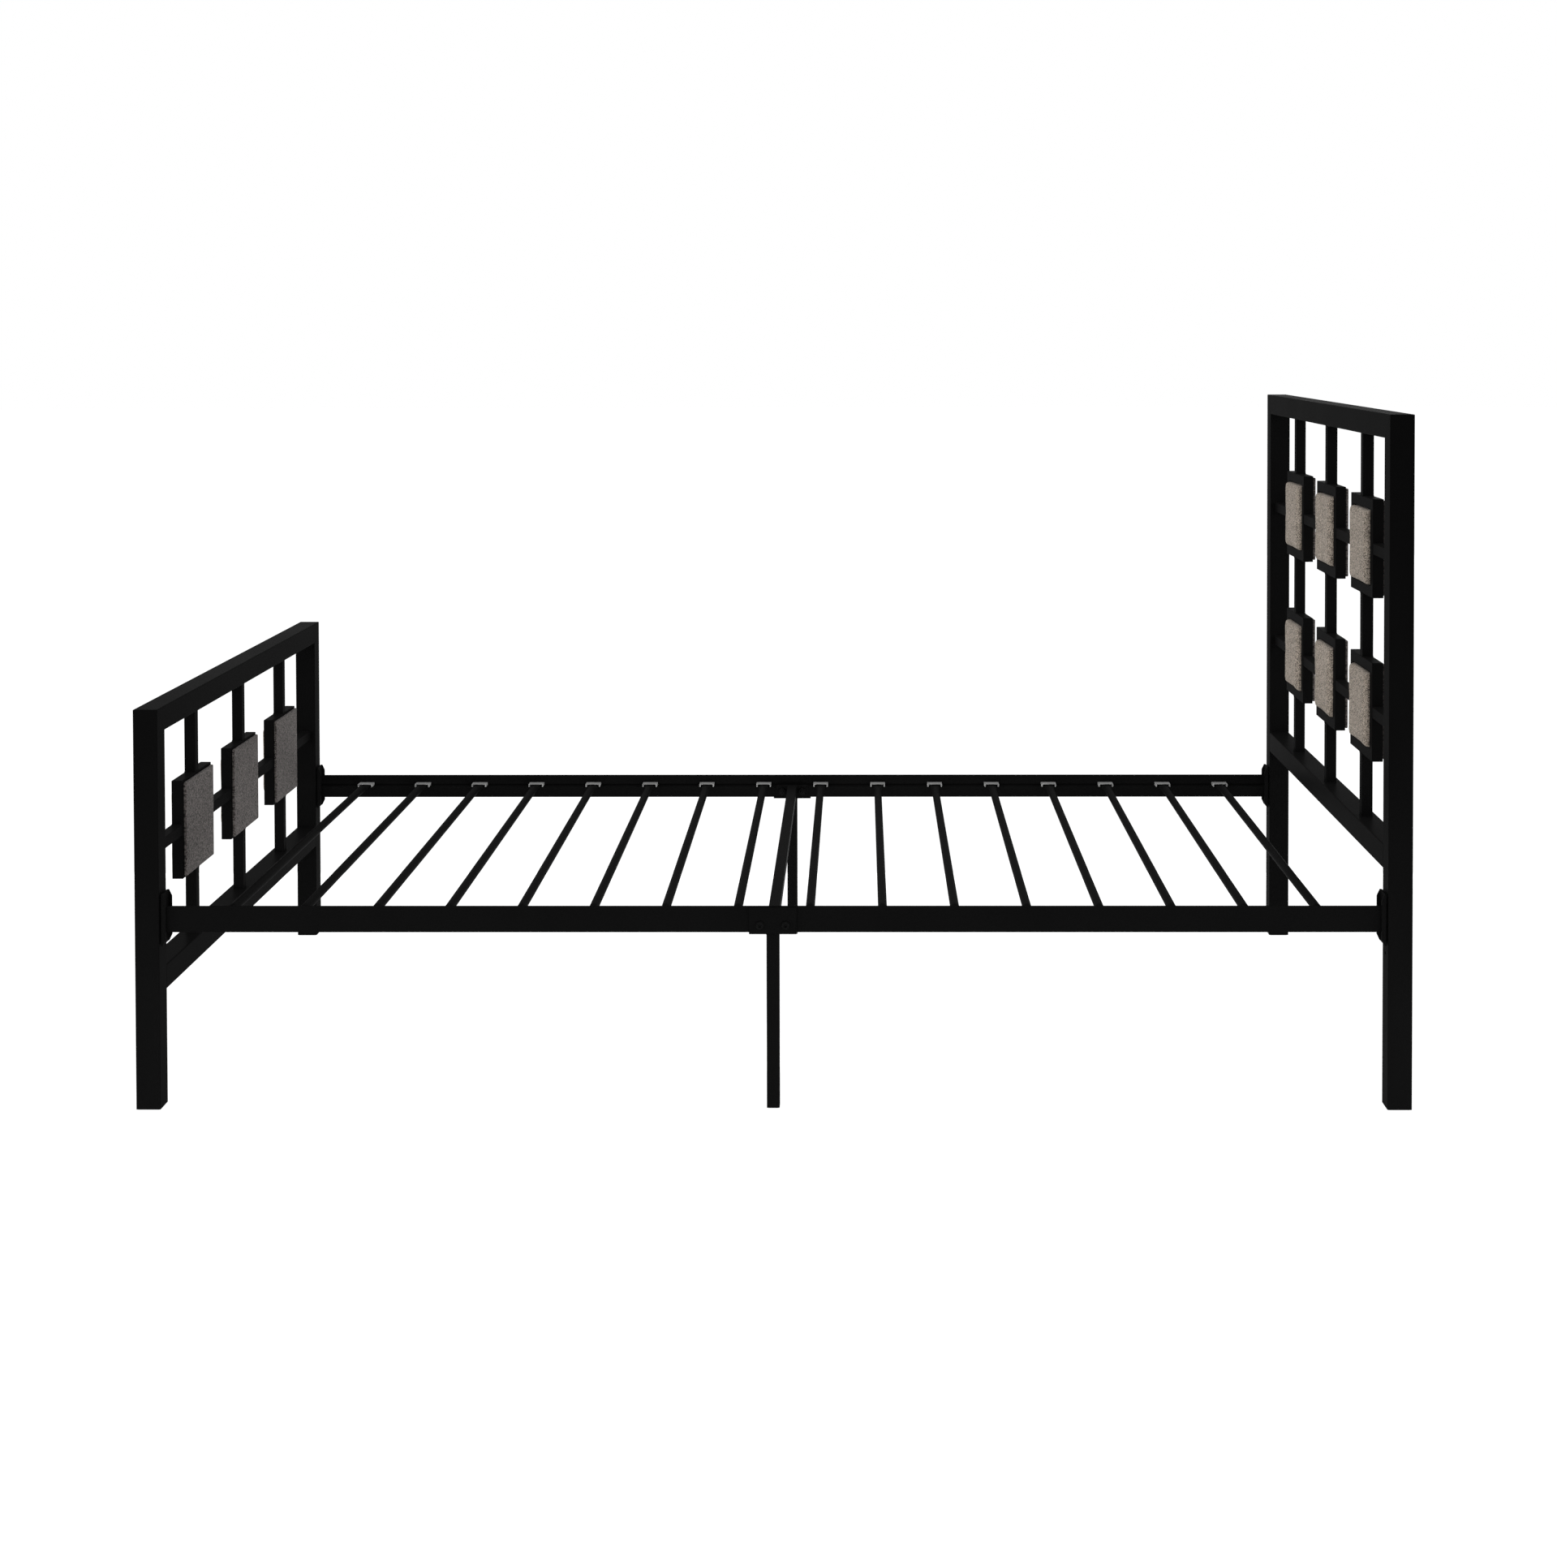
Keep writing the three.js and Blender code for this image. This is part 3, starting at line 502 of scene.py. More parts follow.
def modifier_tree(name, inputs):
    """A tree that shapes a piece, with the piece and its finish among its inputs."""
    inputs = [("Geometry", SHAPE, None), *inputs, ("Finish", FINISH, None)]
    nodes, given, result = new_group(name, "GeometryNodeTree", inputs, [("Geometry", SHAPE)])
    nodes.tree.is_modifier = True
    return nodes, given, result


def end_tree(nodes, given, result, shape):
    """Ends a modifier's tree with real copies that have their finish."""
    solid = nodes.add("GeometryNodeRealizeInstances", Geometry=shape)
    finish = nodes.add("GeometryNodeSetMaterial", Geometry=solid.outputs[0],
                       Material=given["Finish"])
    nodes.feed(result["Geometry"], finish.outputs[0])
    return nodes.tree


def grid_tree():
    """Repeats a piece over a grid of two steps."""
    nodes, given, result = modifier_tree("grid of copies", [
        ("Columns", WHOLE, 1), ("Rows", WHOLE, 1),
        ("Column step", VECTOR, None), ("Row step", VECTOR, None)])
    column, row = (
        nodes.add("GeometryNodeMeshLine", {"mode": "OFFSET"}, Count=given[count],
                  Offset=given[step]).outputs["Mesh"]
        for count, step in (("Columns", "Column step"), ("Rows", "Row step")))
    grid = nodes.add("GeometryNodeInstanceOnPoints", Points=column, Instance=row)
    places = nodes.add("GeometryNodeRealizeInstances", Geometry=grid.outputs[0])
    filled = nodes.add("GeometryNodeInstanceOnPoints", Points=places.outputs[0],
                       Instance=given["Geometry"])
    return end_tree(nodes, given, result, filled.outputs[0])


def bead_tree():
    """Lays a rippled weld bead along the edges of a piece."""
    nodes, given, result = modifier_tree("weld bead", [
        ("Radius", FLOAT, 1.0 * MM), ("Ripple pitch", FLOAT, 2.2 * MM), ("Ripple", FLOAT, 0.14)])
    path = nodes.add("GeometryNodeMeshToCurve", Mesh=given["Geometry"])
    even = nodes.add("GeometryNodeResampleCurve", {"mode": "LENGTH"}, Curve=path.outputs[0],
                     Length=nodes.maths("DIVIDE", given["Ripple pitch"], 3.0))
    along = nodes.add("GeometryNodeSplineParameter").outputs["Length"]
    turns = nodes.maths("DIVIDE", nodes.maths("MULTIPLY", along, 2 * math.pi),
                        given["Ripple pitch"])
    wave = nodes.maths("MULTIPLY", nodes.maths("COSINE", turns), given["Ripple"])
    uneven = nodes.add("FunctionNodeRandomValue", Min=-0.06, Max=0.06, Seed=7)
    swell = nodes.maths("ADD", nodes.maths("ADD", wave, 1.0), uneven.outputs["Value"])
    sized = nodes.add("GeometryNodeSetCurveRadius", Curve=even.outputs[0], Radius=swell)
    circle = nodes.add("GeometryNodeCurvePrimitiveCircle", Resolution=6, Radius=given["Radius"])
    bead = nodes.add("GeometryNodeCurveToMesh", Curve=sized.outputs[0],
                     Profile_Curve=circle.outputs[0], Scale=swell)
    return end_tree(nodes, given, result, bead.outputs[0])


copies = grid_tree()
beads = bead_tree()


def repeat(piece, tree, **values):
    """Runs a tree on a piece, with the tree's inputs set by name."""
    modifier = piece.modifiers.new(tree.name, "NODES")
    modifier.node_group = tree
    for item in tree.interface.items_tree:
        key = item.name.replace(" ", "_").lower()
        if item.item_type == "SOCKET" and item.in_out == "INPUT" and key in values:
            modifier[item.identifier] = values[key]
    return settle(piece)


def weld(section, place, stops, radius):
    """A weld bead round the section of a bar at each stop along it."""
    points, edges = [], []
    for stop in stops:
        first = len(points)
        points += [place(a, b, stop) for a, b in section]
        edges += [(first + i, first + (i + 1) % len(section)) for i in range(len(section))]
    mesh = bpy.data.meshes.new("bead")
    mesh.from_pydata(points, edges, [])
    return repeat(link("bead", mesh), beads, radius=radius, finish=frame_coat)


# ---- Finishes ----

def grey(level):
    return (level, level, level, 1.0)


SKIN_OUTPUTS = [("Colour", COLOUR), ("Roughness", FLOAT), ("Normal", VECTOR)]


def coat_group():
    """The skin of a baked powder coat: fine orange peel, slow changes of sheen and
    a little dust that settles on faces that look up."""
    nodes, given, result = new_group("powder coat skin", "ShaderNodeTree", [
        ("Place", VECTOR, None), ("Colour", COLOUR, grey(0.005)), ("Dust", FLOAT, 0.1),
        ("Roughness", FLOAT, 0.7), ("Peel", FLOAT, 0.1)], SKIN_OUTPUTS)
    slow = nodes.noise(given["Place"], scale=9.0, detail=3.0)
    speckle = nodes.noise(given["Place"], scale=900.0, roughness=0.6)
    peel = nodes.noise(given["Place"], scale=420.0, detail=3.0, roughness=0.55)
    fine = nodes.maths("MULTIPLY_ADD", speckle, 0.5, 0.75)
    varied = nodes.maths("MULTIPLY", fine, nodes.maths("MULTIPLY_ADD", slow, 0.3, 0.85))
    coat = nodes.vectors("SCALE", given["Colour"], Scale=varied)
    facing = nodes.add("ShaderNodeNewGeometry").outputs["Normal"]
    upward = nodes.add("ShaderNodeSeparateXYZ", Vector=facing).outputs["Z"]
    settled = nodes.maths("POWER", nodes.maths("MAXIMUM", upward, 0.0), 3.0)
    patches = nodes.maths("MULTIPLY", settled, nodes.maths("MULTIPLY_ADD", slow, 0.8, 0.2))
    amount = nodes.maths("MULTIPLY", patches, given["Dust"])
    sheen = nodes.maths("MULTIPLY_ADD", slow, 0.12, -0.06)
    bump = nodes.add("ShaderNodeBump", Strength=given["Peel"], Distance=0.12 * MM, Height=peel)
    nodes.fill(
        result,
        Colour=nodes.blend(amount, coat, (0.05, 0.048, 0.045, 1.0)),
        Roughness=nodes.maths("ADD", given["Roughness"], sheen, clamp=True),
        Normal=bump.outputs[0],
    )
    return nodes.tree


def weave_group():
    """A plain weave of uneven yarns in the cloth's own lengths. Every crossing has
    its own shade, soft patches lie over the cloth, and painted shade darkens the
    hollows between the yarns."""
    nodes, given, result = new_group("plain weave", "ShaderNodeTree", [
        ("Cloth", VECTOR, None), ("Pitch", FLOAT, 1.4 * MM), ("Base", COLOUR, grey(0.2)),
        ("Light yarn", COLOUR, grey(0.3)), ("Dark yarn", COLOUR, grey(0.1)),
        # The next input sets how much painted shade darkens the hollows between the yarns.
        ("Depth", FLOAT, 0.5), ("Fleck", FLOAT, 0.5)],
        [("Colour", COLOUR), ("Height", FLOAT), ("Fuzz", FLOAT)])
    scaled = nodes.vectors("SCALE", given["Cloth"],
                           Scale=nodes.maths("DIVIDE", 1.0, given["Pitch"]))
    wobble = nodes.add("ShaderNodeTexNoise", Vector=scaled, Scale=0.35, Detail=2.0)
    drift = nodes.vectors("MULTIPLY_ADD", wobble.outputs["Color"], (0.7, 0.7, 0.0), scaled)
    place = nodes.add("ShaderNodeSeparateXYZ", Vector=drift).outputs
    along, across = place["X"], place["Y"]
    warp_number = nodes.maths("FLOOR", along)
    weft_number = nodes.maths("FLOOR", across)
    parity = nodes.maths("FLOORED_MODULO", nodes.maths("ADD", warp_number, weft_number), 2.0)

    def yarn_shade(number, run, seed):
        """The shade of one yarn at a place along it."""
        spot = nodes.add("ShaderNodeCombineXYZ", X=nodes.maths("MULTIPLY", number, 7.31),
                         Y=nodes.maths("MULTIPLY", run, 0.9), Z=seed)
        return nodes.noise(spot.outputs[0], scale=1.0, detail=3.0, roughness=0.65)

    def hump(position):
        """0 where a yarn begins and ends, and 1 in its middle."""
        turn = nodes.maths("MULTIPLY", position, math.pi)
        return nodes.maths("ABSOLUTE", nodes.maths("SINE", turn))

    def yarn_height(position, run):
        """How high a round yarn stands at a place, over and under its neighbours."""
        side = nodes.maths("POWER", hump(position), 0.5)
        return nodes.maths("MULTIPLY", side, nodes.maths("MULTIPLY_ADD", hump(run), 0.6, 0.4))

    height = nodes.blend(parity, yarn_height(along, across), yarn_height(across, along), "FLOAT")
    shade_here = nodes.blend(parity, yarn_shade(warp_number, across, 1.7),
                             yarn_shade(weft_number, along, 9.2), "FLOAT")
    lighter = nodes.maths("MULTIPLY_ADD", shade_here, 3.6, -1.9, clamp=True)
    darker = nodes.maths("MULTIPLY_ADD", shade_here, -3.6, 1.7, clamp=True)
    yarns = nodes.blend(lighter, given["Base"], given["Light yarn"])
    yarns = nodes.blend(darker, yarns, given["Dark yarn"])
    # Painted shade: the yarns' colour is darkened in the hollows where they dip between each
    # other, more with a greater shading amount.
    hollow = nodes.maths("MULTIPLY", nodes.maths("SUBTRACT", 1.0, height), given["Depth"])
    shade_painted_yarns = nodes.vectors("SCALE", yarns, Scale=nodes.maths("SUBTRACT", 1.0, hollow))
    crossing = nodes.add("ShaderNodeCombineXYZ", X=warp_number, Y=weft_number, Z=3.0)
    chance = nodes.add("ShaderNodeTexWhiteNoise", Vector=crossing.outputs[0]).outputs["Value"]
    fleck = nodes.maths("MULTIPLY", nodes.maths("SUBTRACT", chance, 0.5), given["Fleck"])
    cloudy = nodes.noise(given["Cloth"], scale=30.0, detail=3.0)
    patches = nodes.maths("MULTIPLY_ADD", cloudy, 0.16, 0.92)
    flecked = nodes.maths("MULTIPLY", nodes.maths("ADD", fleck, 1.0), patches)
    fuzz = nodes.noise(given["Cloth"], scale=2600.0, roughness=0.6)
    nodes.fill(
        result,
        Colour=nodes.vectors("SCALE", shade_painted_yarns, Scale=flecked),
        Height=nodes.maths("ADD", height, nodes.maths("MULTIPLY", fuzz, 0.35)),
        Fuzz=fuzz,
    )
    return nodes.tree


def plastic_group():
    """Moulded plastic: a fine spark-eroded skin and faint flow marks."""
    nodes, given, result = new_group("moulded plastic skin", "ShaderNodeTree", [
        ("Place", VECTOR, None), ("Colour", COLOUR, grey(0.1)), ("Roughness", FLOAT, 0.5)],
        SKIN_OUTPUTS)
    flow = nodes.noise(given["Place"], scale=60.0, detail=3.0)
    grain = nodes.noise(given["Place"], scale=2200.0, roughness=0.6)
    tint = nodes.maths("MULTIPLY_ADD", flow, 0.3, 0.85)
    sheen = nodes.maths("MULTIPLY_ADD", flow, 0.16, -0.08)
    bump = nodes.add("ShaderNodeBump", Strength=0.25, Distance=0.05 * MM, Height=grain)
    nodes.fill(
        result,
        Colour=nodes.vectors("SCALE", given["Colour"], Scale=tint),
        Roughness=nodes.maths("ADD", given["Roughness"], sheen, clamp=True),
        Normal=bump.outputs[0],
    )
    return nodes.tree


coat_skin = coat_group()
plastic_skin = plastic_group()
cloth_weave = weave_group()


def new_finish(name):
    """An empty material: itself, its nodes and the inputs of its shader."""
    finish = bpy.data.materials.new(name)
    finish.use_nodes = True
    return finish, Nodes(finish.node_tree), finish.node_tree.nodes["Principled BSDF"].inputs


def hard_finish(name, group, specular, **values):
    """A material whose skin comes from a group, laid on by the piece's own place."""
    finish, nodes, shader = new_finish(name)
    where = nodes.add("ShaderNodeTexCoord").outputs["Object"]
    skin = nodes.add("ShaderNodeGroup", {"node_tree": group}, Place=where, **values).outputs
    nodes.fill(shader, Base_Color=skin["Colour"], Roughness=skin["Roughness"],
               Normal=skin["Normal"], Specular_IOR_Level=specular)
    return finish


def upholstery(name, base, light_yarn, dark_yarn, pitch, fleck):
    """A woven cloth, laid on by the piece's own map of it."""
    finish, nodes, shader = new_finish(name)
    cloth = nodes.add("ShaderNodeUVMap", {"uv_map": "cloth"}).outputs["UV"]
    # The weave's shading input sets how much painted shade darkens the hollows between the
    # yarns.
    weave = nodes.add("ShaderNodeGroup", {"node_tree": cloth_weave}, Cloth=cloth, Pitch=pitch,
                      Base=base, Light_yarn=light_yarn, Dark_yarn=dark_yarn, Depth=0.45,
                      Fleck=fleck).outputs
    bump = nodes.add("ShaderNodeBump", Strength=0.6, Distance=0.35 * MM, Height=weave["Height"])
    rough = nodes.maths("MULTIPLY_ADD", weave["Fuzz"], 0.12, 0.86)
    nodes.fill(shader, Base_Color=weave["Colour"], Roughness=rough, Normal=bump.outputs[0],
               Specular_IOR_Level=0.15, Sheen_Weight=0.08, Sheen_Roughness=0.5)
    return finish


frame_coat = hard_finish("frame coat", coat_skin, 0.001, Colour=grey(0.0042), Roughness=0.42,
                         Dust=0.02, Peel=0.3)
slat_coat = hard_finish("slat coat", coat_skin, 0.001, Colour=grey(0.0045), Roughness=0.45,
                        Dust=0.02, Peel=0.3)
bolt_coat = hard_finish("bolt coat", coat_skin, 0.012, Colour=grey(0.0048), Roughness=0.36,
                        Dust=0.02, Peel=0.15)
cap_plastic = hard_finish("slat cap plastic", plastic_skin, 0.15, Colour=(0.25, 0.25, 0.248, 1),
                          Roughness=0.5)
plug_plastic = hard_finish("foot plug plastic", plastic_skin, 0.1, Colour=grey(0.006),
                           Roughness=0.6)
beige_cloth = upholstery(
    "beige cloth", base=(0.312, 0.267, 0.222, 1), light_yarn=(0.429, 0.383, 0.333, 1),
    dark_yarn=(0.173, 0.138, 0.111, 1), pitch=1.6 * MM, fleck=1.5)
grey_cloth = upholstery(
    "grey cloth", base=(0.085, 0.0755, 0.0715, 1), light_yarn=(0.130, 0.118, 0.113, 1),
    dark_yarn=(0.0475, 0.0405, 0.0375, 1), pitch=1.9 * MM, fleck=1.8)


# ---- Posts and board rails ----

BOARDS = (("foot", -1, 1), ("head", 1, 2))
SIDES = (("right", -1), ("left", 1))


def make_post(board, end, side_name, side):
    """A post with a mitred top, slots for the rail's hooks, and at the head a hole."""
    node = f"{board}_post_{side_name}"
    low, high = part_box(node)
    x, y, _ = centre(node)
    post = make_tube(f"{node}_tube", POST_SIZE, POST_WALL, POST_CORNER, upright(x, y),
                     low.z, high.z - POST_SIZE / 2 - MITRE_GAP, (0, side))
    face = x - end * POST_SIZE / 2
    near, far = face - POST_CUT_DEPTH, face + POST_CUT_DEPTH
    half = (HOOK_THICKNESS + HOOK_PLAY) / 2
    cutters = []
    for index in range(HOOK_COUNT):
        bottom = bracket_bottom + HOOK_FIRST_HEIGHT + index * HOOK_PITCH - HOOK_DROP
        top = bottom + HOOK_NECK + HOOK_DROP + HOOK_PLAY
        cutters.append(make_box("slot", (near, y - half, bottom), (far, y + half, top)))
    if end > 0:
        cutters.append(make_turning(
            "post hole", ((POST_HOLE_RADIUS, near), (POST_HOLE_RADIUS, far)),
            lengthwise(y, POST_HOLE_HEIGHT), 24))
    coated(cut(post, cutters), node)


def make_board_rails(board):
    """The mitred top rail of a board and its lower rail, welded between the posts."""
    x, _, top_z = centre(f"{board}_top_rail")
    lower_z = centre(f"{board}_lower_rail")[2]
    reach = post_y - MITRE_GAP
    top = make_tube(f"{board}_top_rail_tube", POST_SIZE, POST_WALL, POST_CORNER,
                    crosswise(x, top_z), -reach, reach, (-1, 1))
    coated(top, f"{board}_top_rail")
    place = crosswise(x, lower_z)
    reach = inner_y - MITRE_GAP
    tube = make_tube("lower rail", POST_SIZE, POST_WALL, POST_CORNER, place, -reach, reach)
    section = rounded_loop(POST_SIZE - 2 * BOARD_RAIL_BEAD, POST_SIZE, POST_CORNER, 3)
    seam = inner_y - BEAD_SINK
    bead = weld(section, place, (-seam, seam), BOARD_RAIL_BEAD)
    lower = merged(f"{board}_lower_rail_tube", [tube, bead])
    coated(lower, f"{board}_lower_rail")


# ---- Grille ----

def make_ring(x, y, z):
    """A mitred ring of square bar."""
    half = (RING_SIZE - RING_BAR) / 2
    section = rounded_loop(RING_BAR, RING_BAR, RING_CORNER, 4)
    corners = [[(x + b, y + sy * (half + a), z + sz * (half + a)) for a, b in section]
               for sy, sz in ((1, 1), (-1, 1), (-1, -1), (1, -1))]
    return soften(skinned("ring", corners, joined=True), RING_EDGE, angle=60)


def make_short_bar(place, start, end):
    """A short bar of the grille with a bead at each end."""
    bar = make_prism("bar", rounded_loop(RING_BAR, RING_BAR, RING_CORNER, 4), place, start, end)
    path = rounded_loop(RING_BAR, RING_BAR, RING_CORNER, 2)
    bead = weld(path, place, (start + BAR_BEAD_SINK, end - BAR_BEAD_SINK), BAR_BEAD)
    return merged("short bar", [bar, bead])


def make_grille(board, rows):
    """The rings and short bars of one board."""
    x = centre(f"{board}_grille")[0]
    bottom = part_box(f"{board}_lower_rail")[1].z
    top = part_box(f"{board}_top_rail")[0].z
    gap_y = (2 * inner_y - RING_COLUMNS * RING_SIZE) / (RING_COLUMNS + 1)
    gap_z = (top - bottom - rows * RING_SIZE) / (rows + 1)
    first_y = -inner_y + gap_y + RING_SIZE / 2
    first_z = bottom + gap_z + RING_SIZE / 2

    def spread(piece, columns, rows):
        return repeat(piece, copies, columns=columns, rows=rows, finish=frame_coat,
                      column_step=(0, gap_y + RING_SIZE, 0), row_step=(0, 0, gap_z + RING_SIZE))

    rings = spread(make_ring(x, first_y, first_z), RING_COLUMNS, rows)
    uprights = spread(make_short_bar(upright(x, first_y), bottom, bottom + gap_z),
                      RING_COLUMNS, rows + 1)
    crossbars = spread(make_short_bar(crosswise(x, first_z), -inner_y, -inner_y + gap_y),
                       RING_COLUMNS + 1, rows)
    grille = merged(f"{board}_grille_work", [rings, uprights, crossbars])
    coated(grille, f"{board}_grille")


# ---- Side rails ----

def rail_section():
    """The stepped section of a side rail: across from its outer face, and up."""
    r, step = RAIL_CORNER, RAIL_INNER_CORNER
    inner = -RAIL_WIDTH
    return (
        arc(-r, r, r, 270, 360)
        + arc(-r, RAIL_HEIGHT - r, r, 0, 180, 8)
        + arc(-RAIL_FLANGE - step, RAIL_LEDGE + step, step, 360, 270, 3)
        + arc(inner + r, RAIL_LEDGE - r, r, 90, 180)
        + arc(inner + r, r, r, 180, 270)
    )


def bolt_hole_cutters():
    """What the bolts of the left side pass through."""
    start, end = rail_inner_y - BOLT_HOLE_PAST, rail_outer_y + BOLT_HOLE_PAST
    return [
        make_turning("bolt hole", ((BOLT_HOLE_RADIUS, start), (BOLT_HOLE_RADIUS, end)),
                     crosswise(x, BOLT_HEIGHT), 24)
        for x in (-BOLT_SPACING / 2, BOLT_SPACING / 2)
    ]


def make_channel(x):
    """The bracket's pressed channel, with its ends cut back on a slope."""
    half, plate = BRACKET_WIDTH / 2, BRACKET_PLATE
    inside = BRACKET_BEND - plate
    outline = (
        [(BRACKET_DEPTH, half)]
        + arc(BRACKET_BEND, half - BRACKET_BEND, BRACKET_BEND, 90, 180)
        + arc(BRACKET_BEND, -half + BRACKET_BEND, BRACKET_BEND, 180, 270)
        + [(BRACKET_DEPTH, -half), (BRACKET_DEPTH, -half + plate)]
        + arc(plate + inside, -half + plate + inside, inside, 270, 180, 3)
        + arc(plate + inside, half - plate - inside, inside, 180, 90, 3)
        + [(BRACKET_DEPTH, half - plate)]
    )
    top = bracket_bottom + BRACKET_HEIGHT
    channel = make_prism("channel", outline, upright(x, post_y), bracket_bottom, top)
    past = BRACKET_DEPTH + CUT_PAST
    fall = (past - BRACKET_SHOULDER) * BRACKET_CHAMFER_SLOPE
    wedges = []
    for level, up in ((bracket_bottom, -1), (top, 1)):
        beyond = level + up * CUT_PAST
        section = [(BRACKET_SHOULDER, level), (past, level - up * fall), (past, beyond),
                   (BRACKET_SHOULDER, beyond)]
        wedges.append(make_prism("wedge", section, crosswise(x, 0),
                                 post_y - BRACKET_WIDTH, post_y + BRACKET_WIDTH))
    return soften(cut(channel, wedges), BRACKET_EDGE, 3, 30)


def make_bracket():
    """The bracket on the foot end of the left rail: a channel with two hooks."""
    x = -bracket_back_x
    behind = -(BRACKET_GAP + POST_WALL + SEAT)
    tip = behind - HOOK_REACH
    outline = [
        (HOOK_ROOT, 0), (HOOK_ROOT, HOOK_NECK), (tip + HOOK_REACH / 2, HOOK_NECK),
        (tip, HOOK_NECK - HOOK_REACH / 2), (tip, -HOOK_DROP + HOOK_REACH / 2),
        (tip + HOOK_REACH / 2, -HOOK_DROP), (behind, -HOOK_DROP), (behind, 0),
    ]
    hooks = []
    for index in range(HOOK_COUNT):
        bottom = bracket_bottom + HOOK_FIRST_HEIGHT + index * HOOK_PITCH
        hook = make_prism("hook", outline, crosswise(x, bottom),
                          post_y - HOOK_THICKNESS / 2, post_y + HOOK_THICKNESS / 2)
        hooks.append(soften(hook, HOOK_EDGE))
    return merged("bracket", [make_channel(x), *hooks])


def finish_pair(stem, ending, pieces):
    """Joins what makes up a piece of the left side, and finishes it and its twin,
    turned to the right side."""
    left = merged(f"{stem}_left_{ending}", pieces)
    right = turned_copy(left, f"{stem}_right_{ending}")
    for piece, side in ((left, "left"), (right, "right")):
        coated(piece, f"{stem}_{side}")


def make_side_rails():
    """The left rail with a bracket on each end, and its twin on the right."""
    web = bracket_back_x - BRACKET_PLATE
    section = rail_section()
    place = lengthwise(rail_outer_y, rail_bottom)
    bar = cut(make_prism("rail", section, place, -web, web), bolt_hole_cutters())
    at_foot = make_bracket()
    at_head = turned_copy(at_foot, "bracket_at_head", (0, 2 * post_y, 0))
    bead = weld(section, place, (-(web - BEAD_SINK), web - BEAD_SINK), SIDE_RAIL_BEAD)
    finish_pair("side_rail", "bar", [bar, at_foot, at_head, bead])


# ---- Middle legs, beam and bolts ----

def make_centre_legs():
    """A square leg under a bent angle, for the left side and the right."""
    inner, outer, bottom = angle_inner_y, angle_outer_y, angle_bottom
    bend, inside = ANGLE_BEND, ANGLE_INNER_BEND
    shelf_top = bottom + ANGLE_PLATE
    outline = (
        [(rail_inner_y, bottom)]
        + arc(outer - bend, bottom + bend, bend, 270, 360)
        + [(outer, bottom + ANGLE_HEIGHT), (inner, bottom + ANGLE_HEIGHT)]
        + arc(inner - inside, shelf_top + inside, inside, 360, 270, 3)
        + [(rail_inner_y, shelf_top)]
    )
    angle = make_prism("angle", outline, lengthwise(0, 0), -ANGLE_HALF_WIDTH, ANGLE_HALF_WIDTH)
    soften(cut(angle, bolt_hole_cutters()), ANGLE_EDGE, angle=50)
    place = upright(0, leg_y)
    tube = make_tube("leg", LEG_SIZE, LEG_WALL, LEG_CORNER, place, leg_low.z,
                     bottom + LEG_TOP_GAP)
    bead = weld(rounded_loop(LEG_SIZE, LEG_SIZE, LEG_CORNER, 3), place,
                (bottom - BEAD_SINK,), MIDDLE_BEAD)
    finish_pair("centre_leg", "work", [angle, tube, bead])


def make_beam():
    """The cross beam, welded to a plate at each end."""
    _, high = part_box("centre_beam")
    reach = high.y
    place = crosswise(0, high.z - BEAM_SIZE / 2)
    tube = make_tube("beam", BEAM_SIZE, LEG_WALL, BEAM_CORNER, place, -reach, reach)
    section = rounded_loop(BEAM_PLATE_WIDTH, BEAM_PLATE_HEIGHT, BEAM_PLATE_CORNER, 5)
    plate = make_prism("plate", section, crosswise(0, high.z - BEAM_PLATE_HEIGHT / 2),
                       reach - BEAM_PLATE, reach)
    soften(cut(plate, bolt_hole_cutters()), BEAM_PLATE_EDGE, angle=60)
    other = turned_copy(plate, "other plate")
    seam = reach - BEAM_PLATE - BEAD_SINK
    bead = weld(rounded_loop(BEAM_SIZE, BEAM_SIZE, BEAM_CORNER, 3), place, (-seam, seam),
                MIDDLE_BEAD)
    coated(merged("centre_beam_work", [tube, plate, other, bead]), "centre_beam")


def nut_reach(angle):
    """How far the flats of a nut are from its axis at an angle."""
    across = (angle + math.pi / 6) % (math.pi / 3) - math.pi / 6
    return NUT_RADIUS * math.cos(math.pi / 6) / math.cos(across)


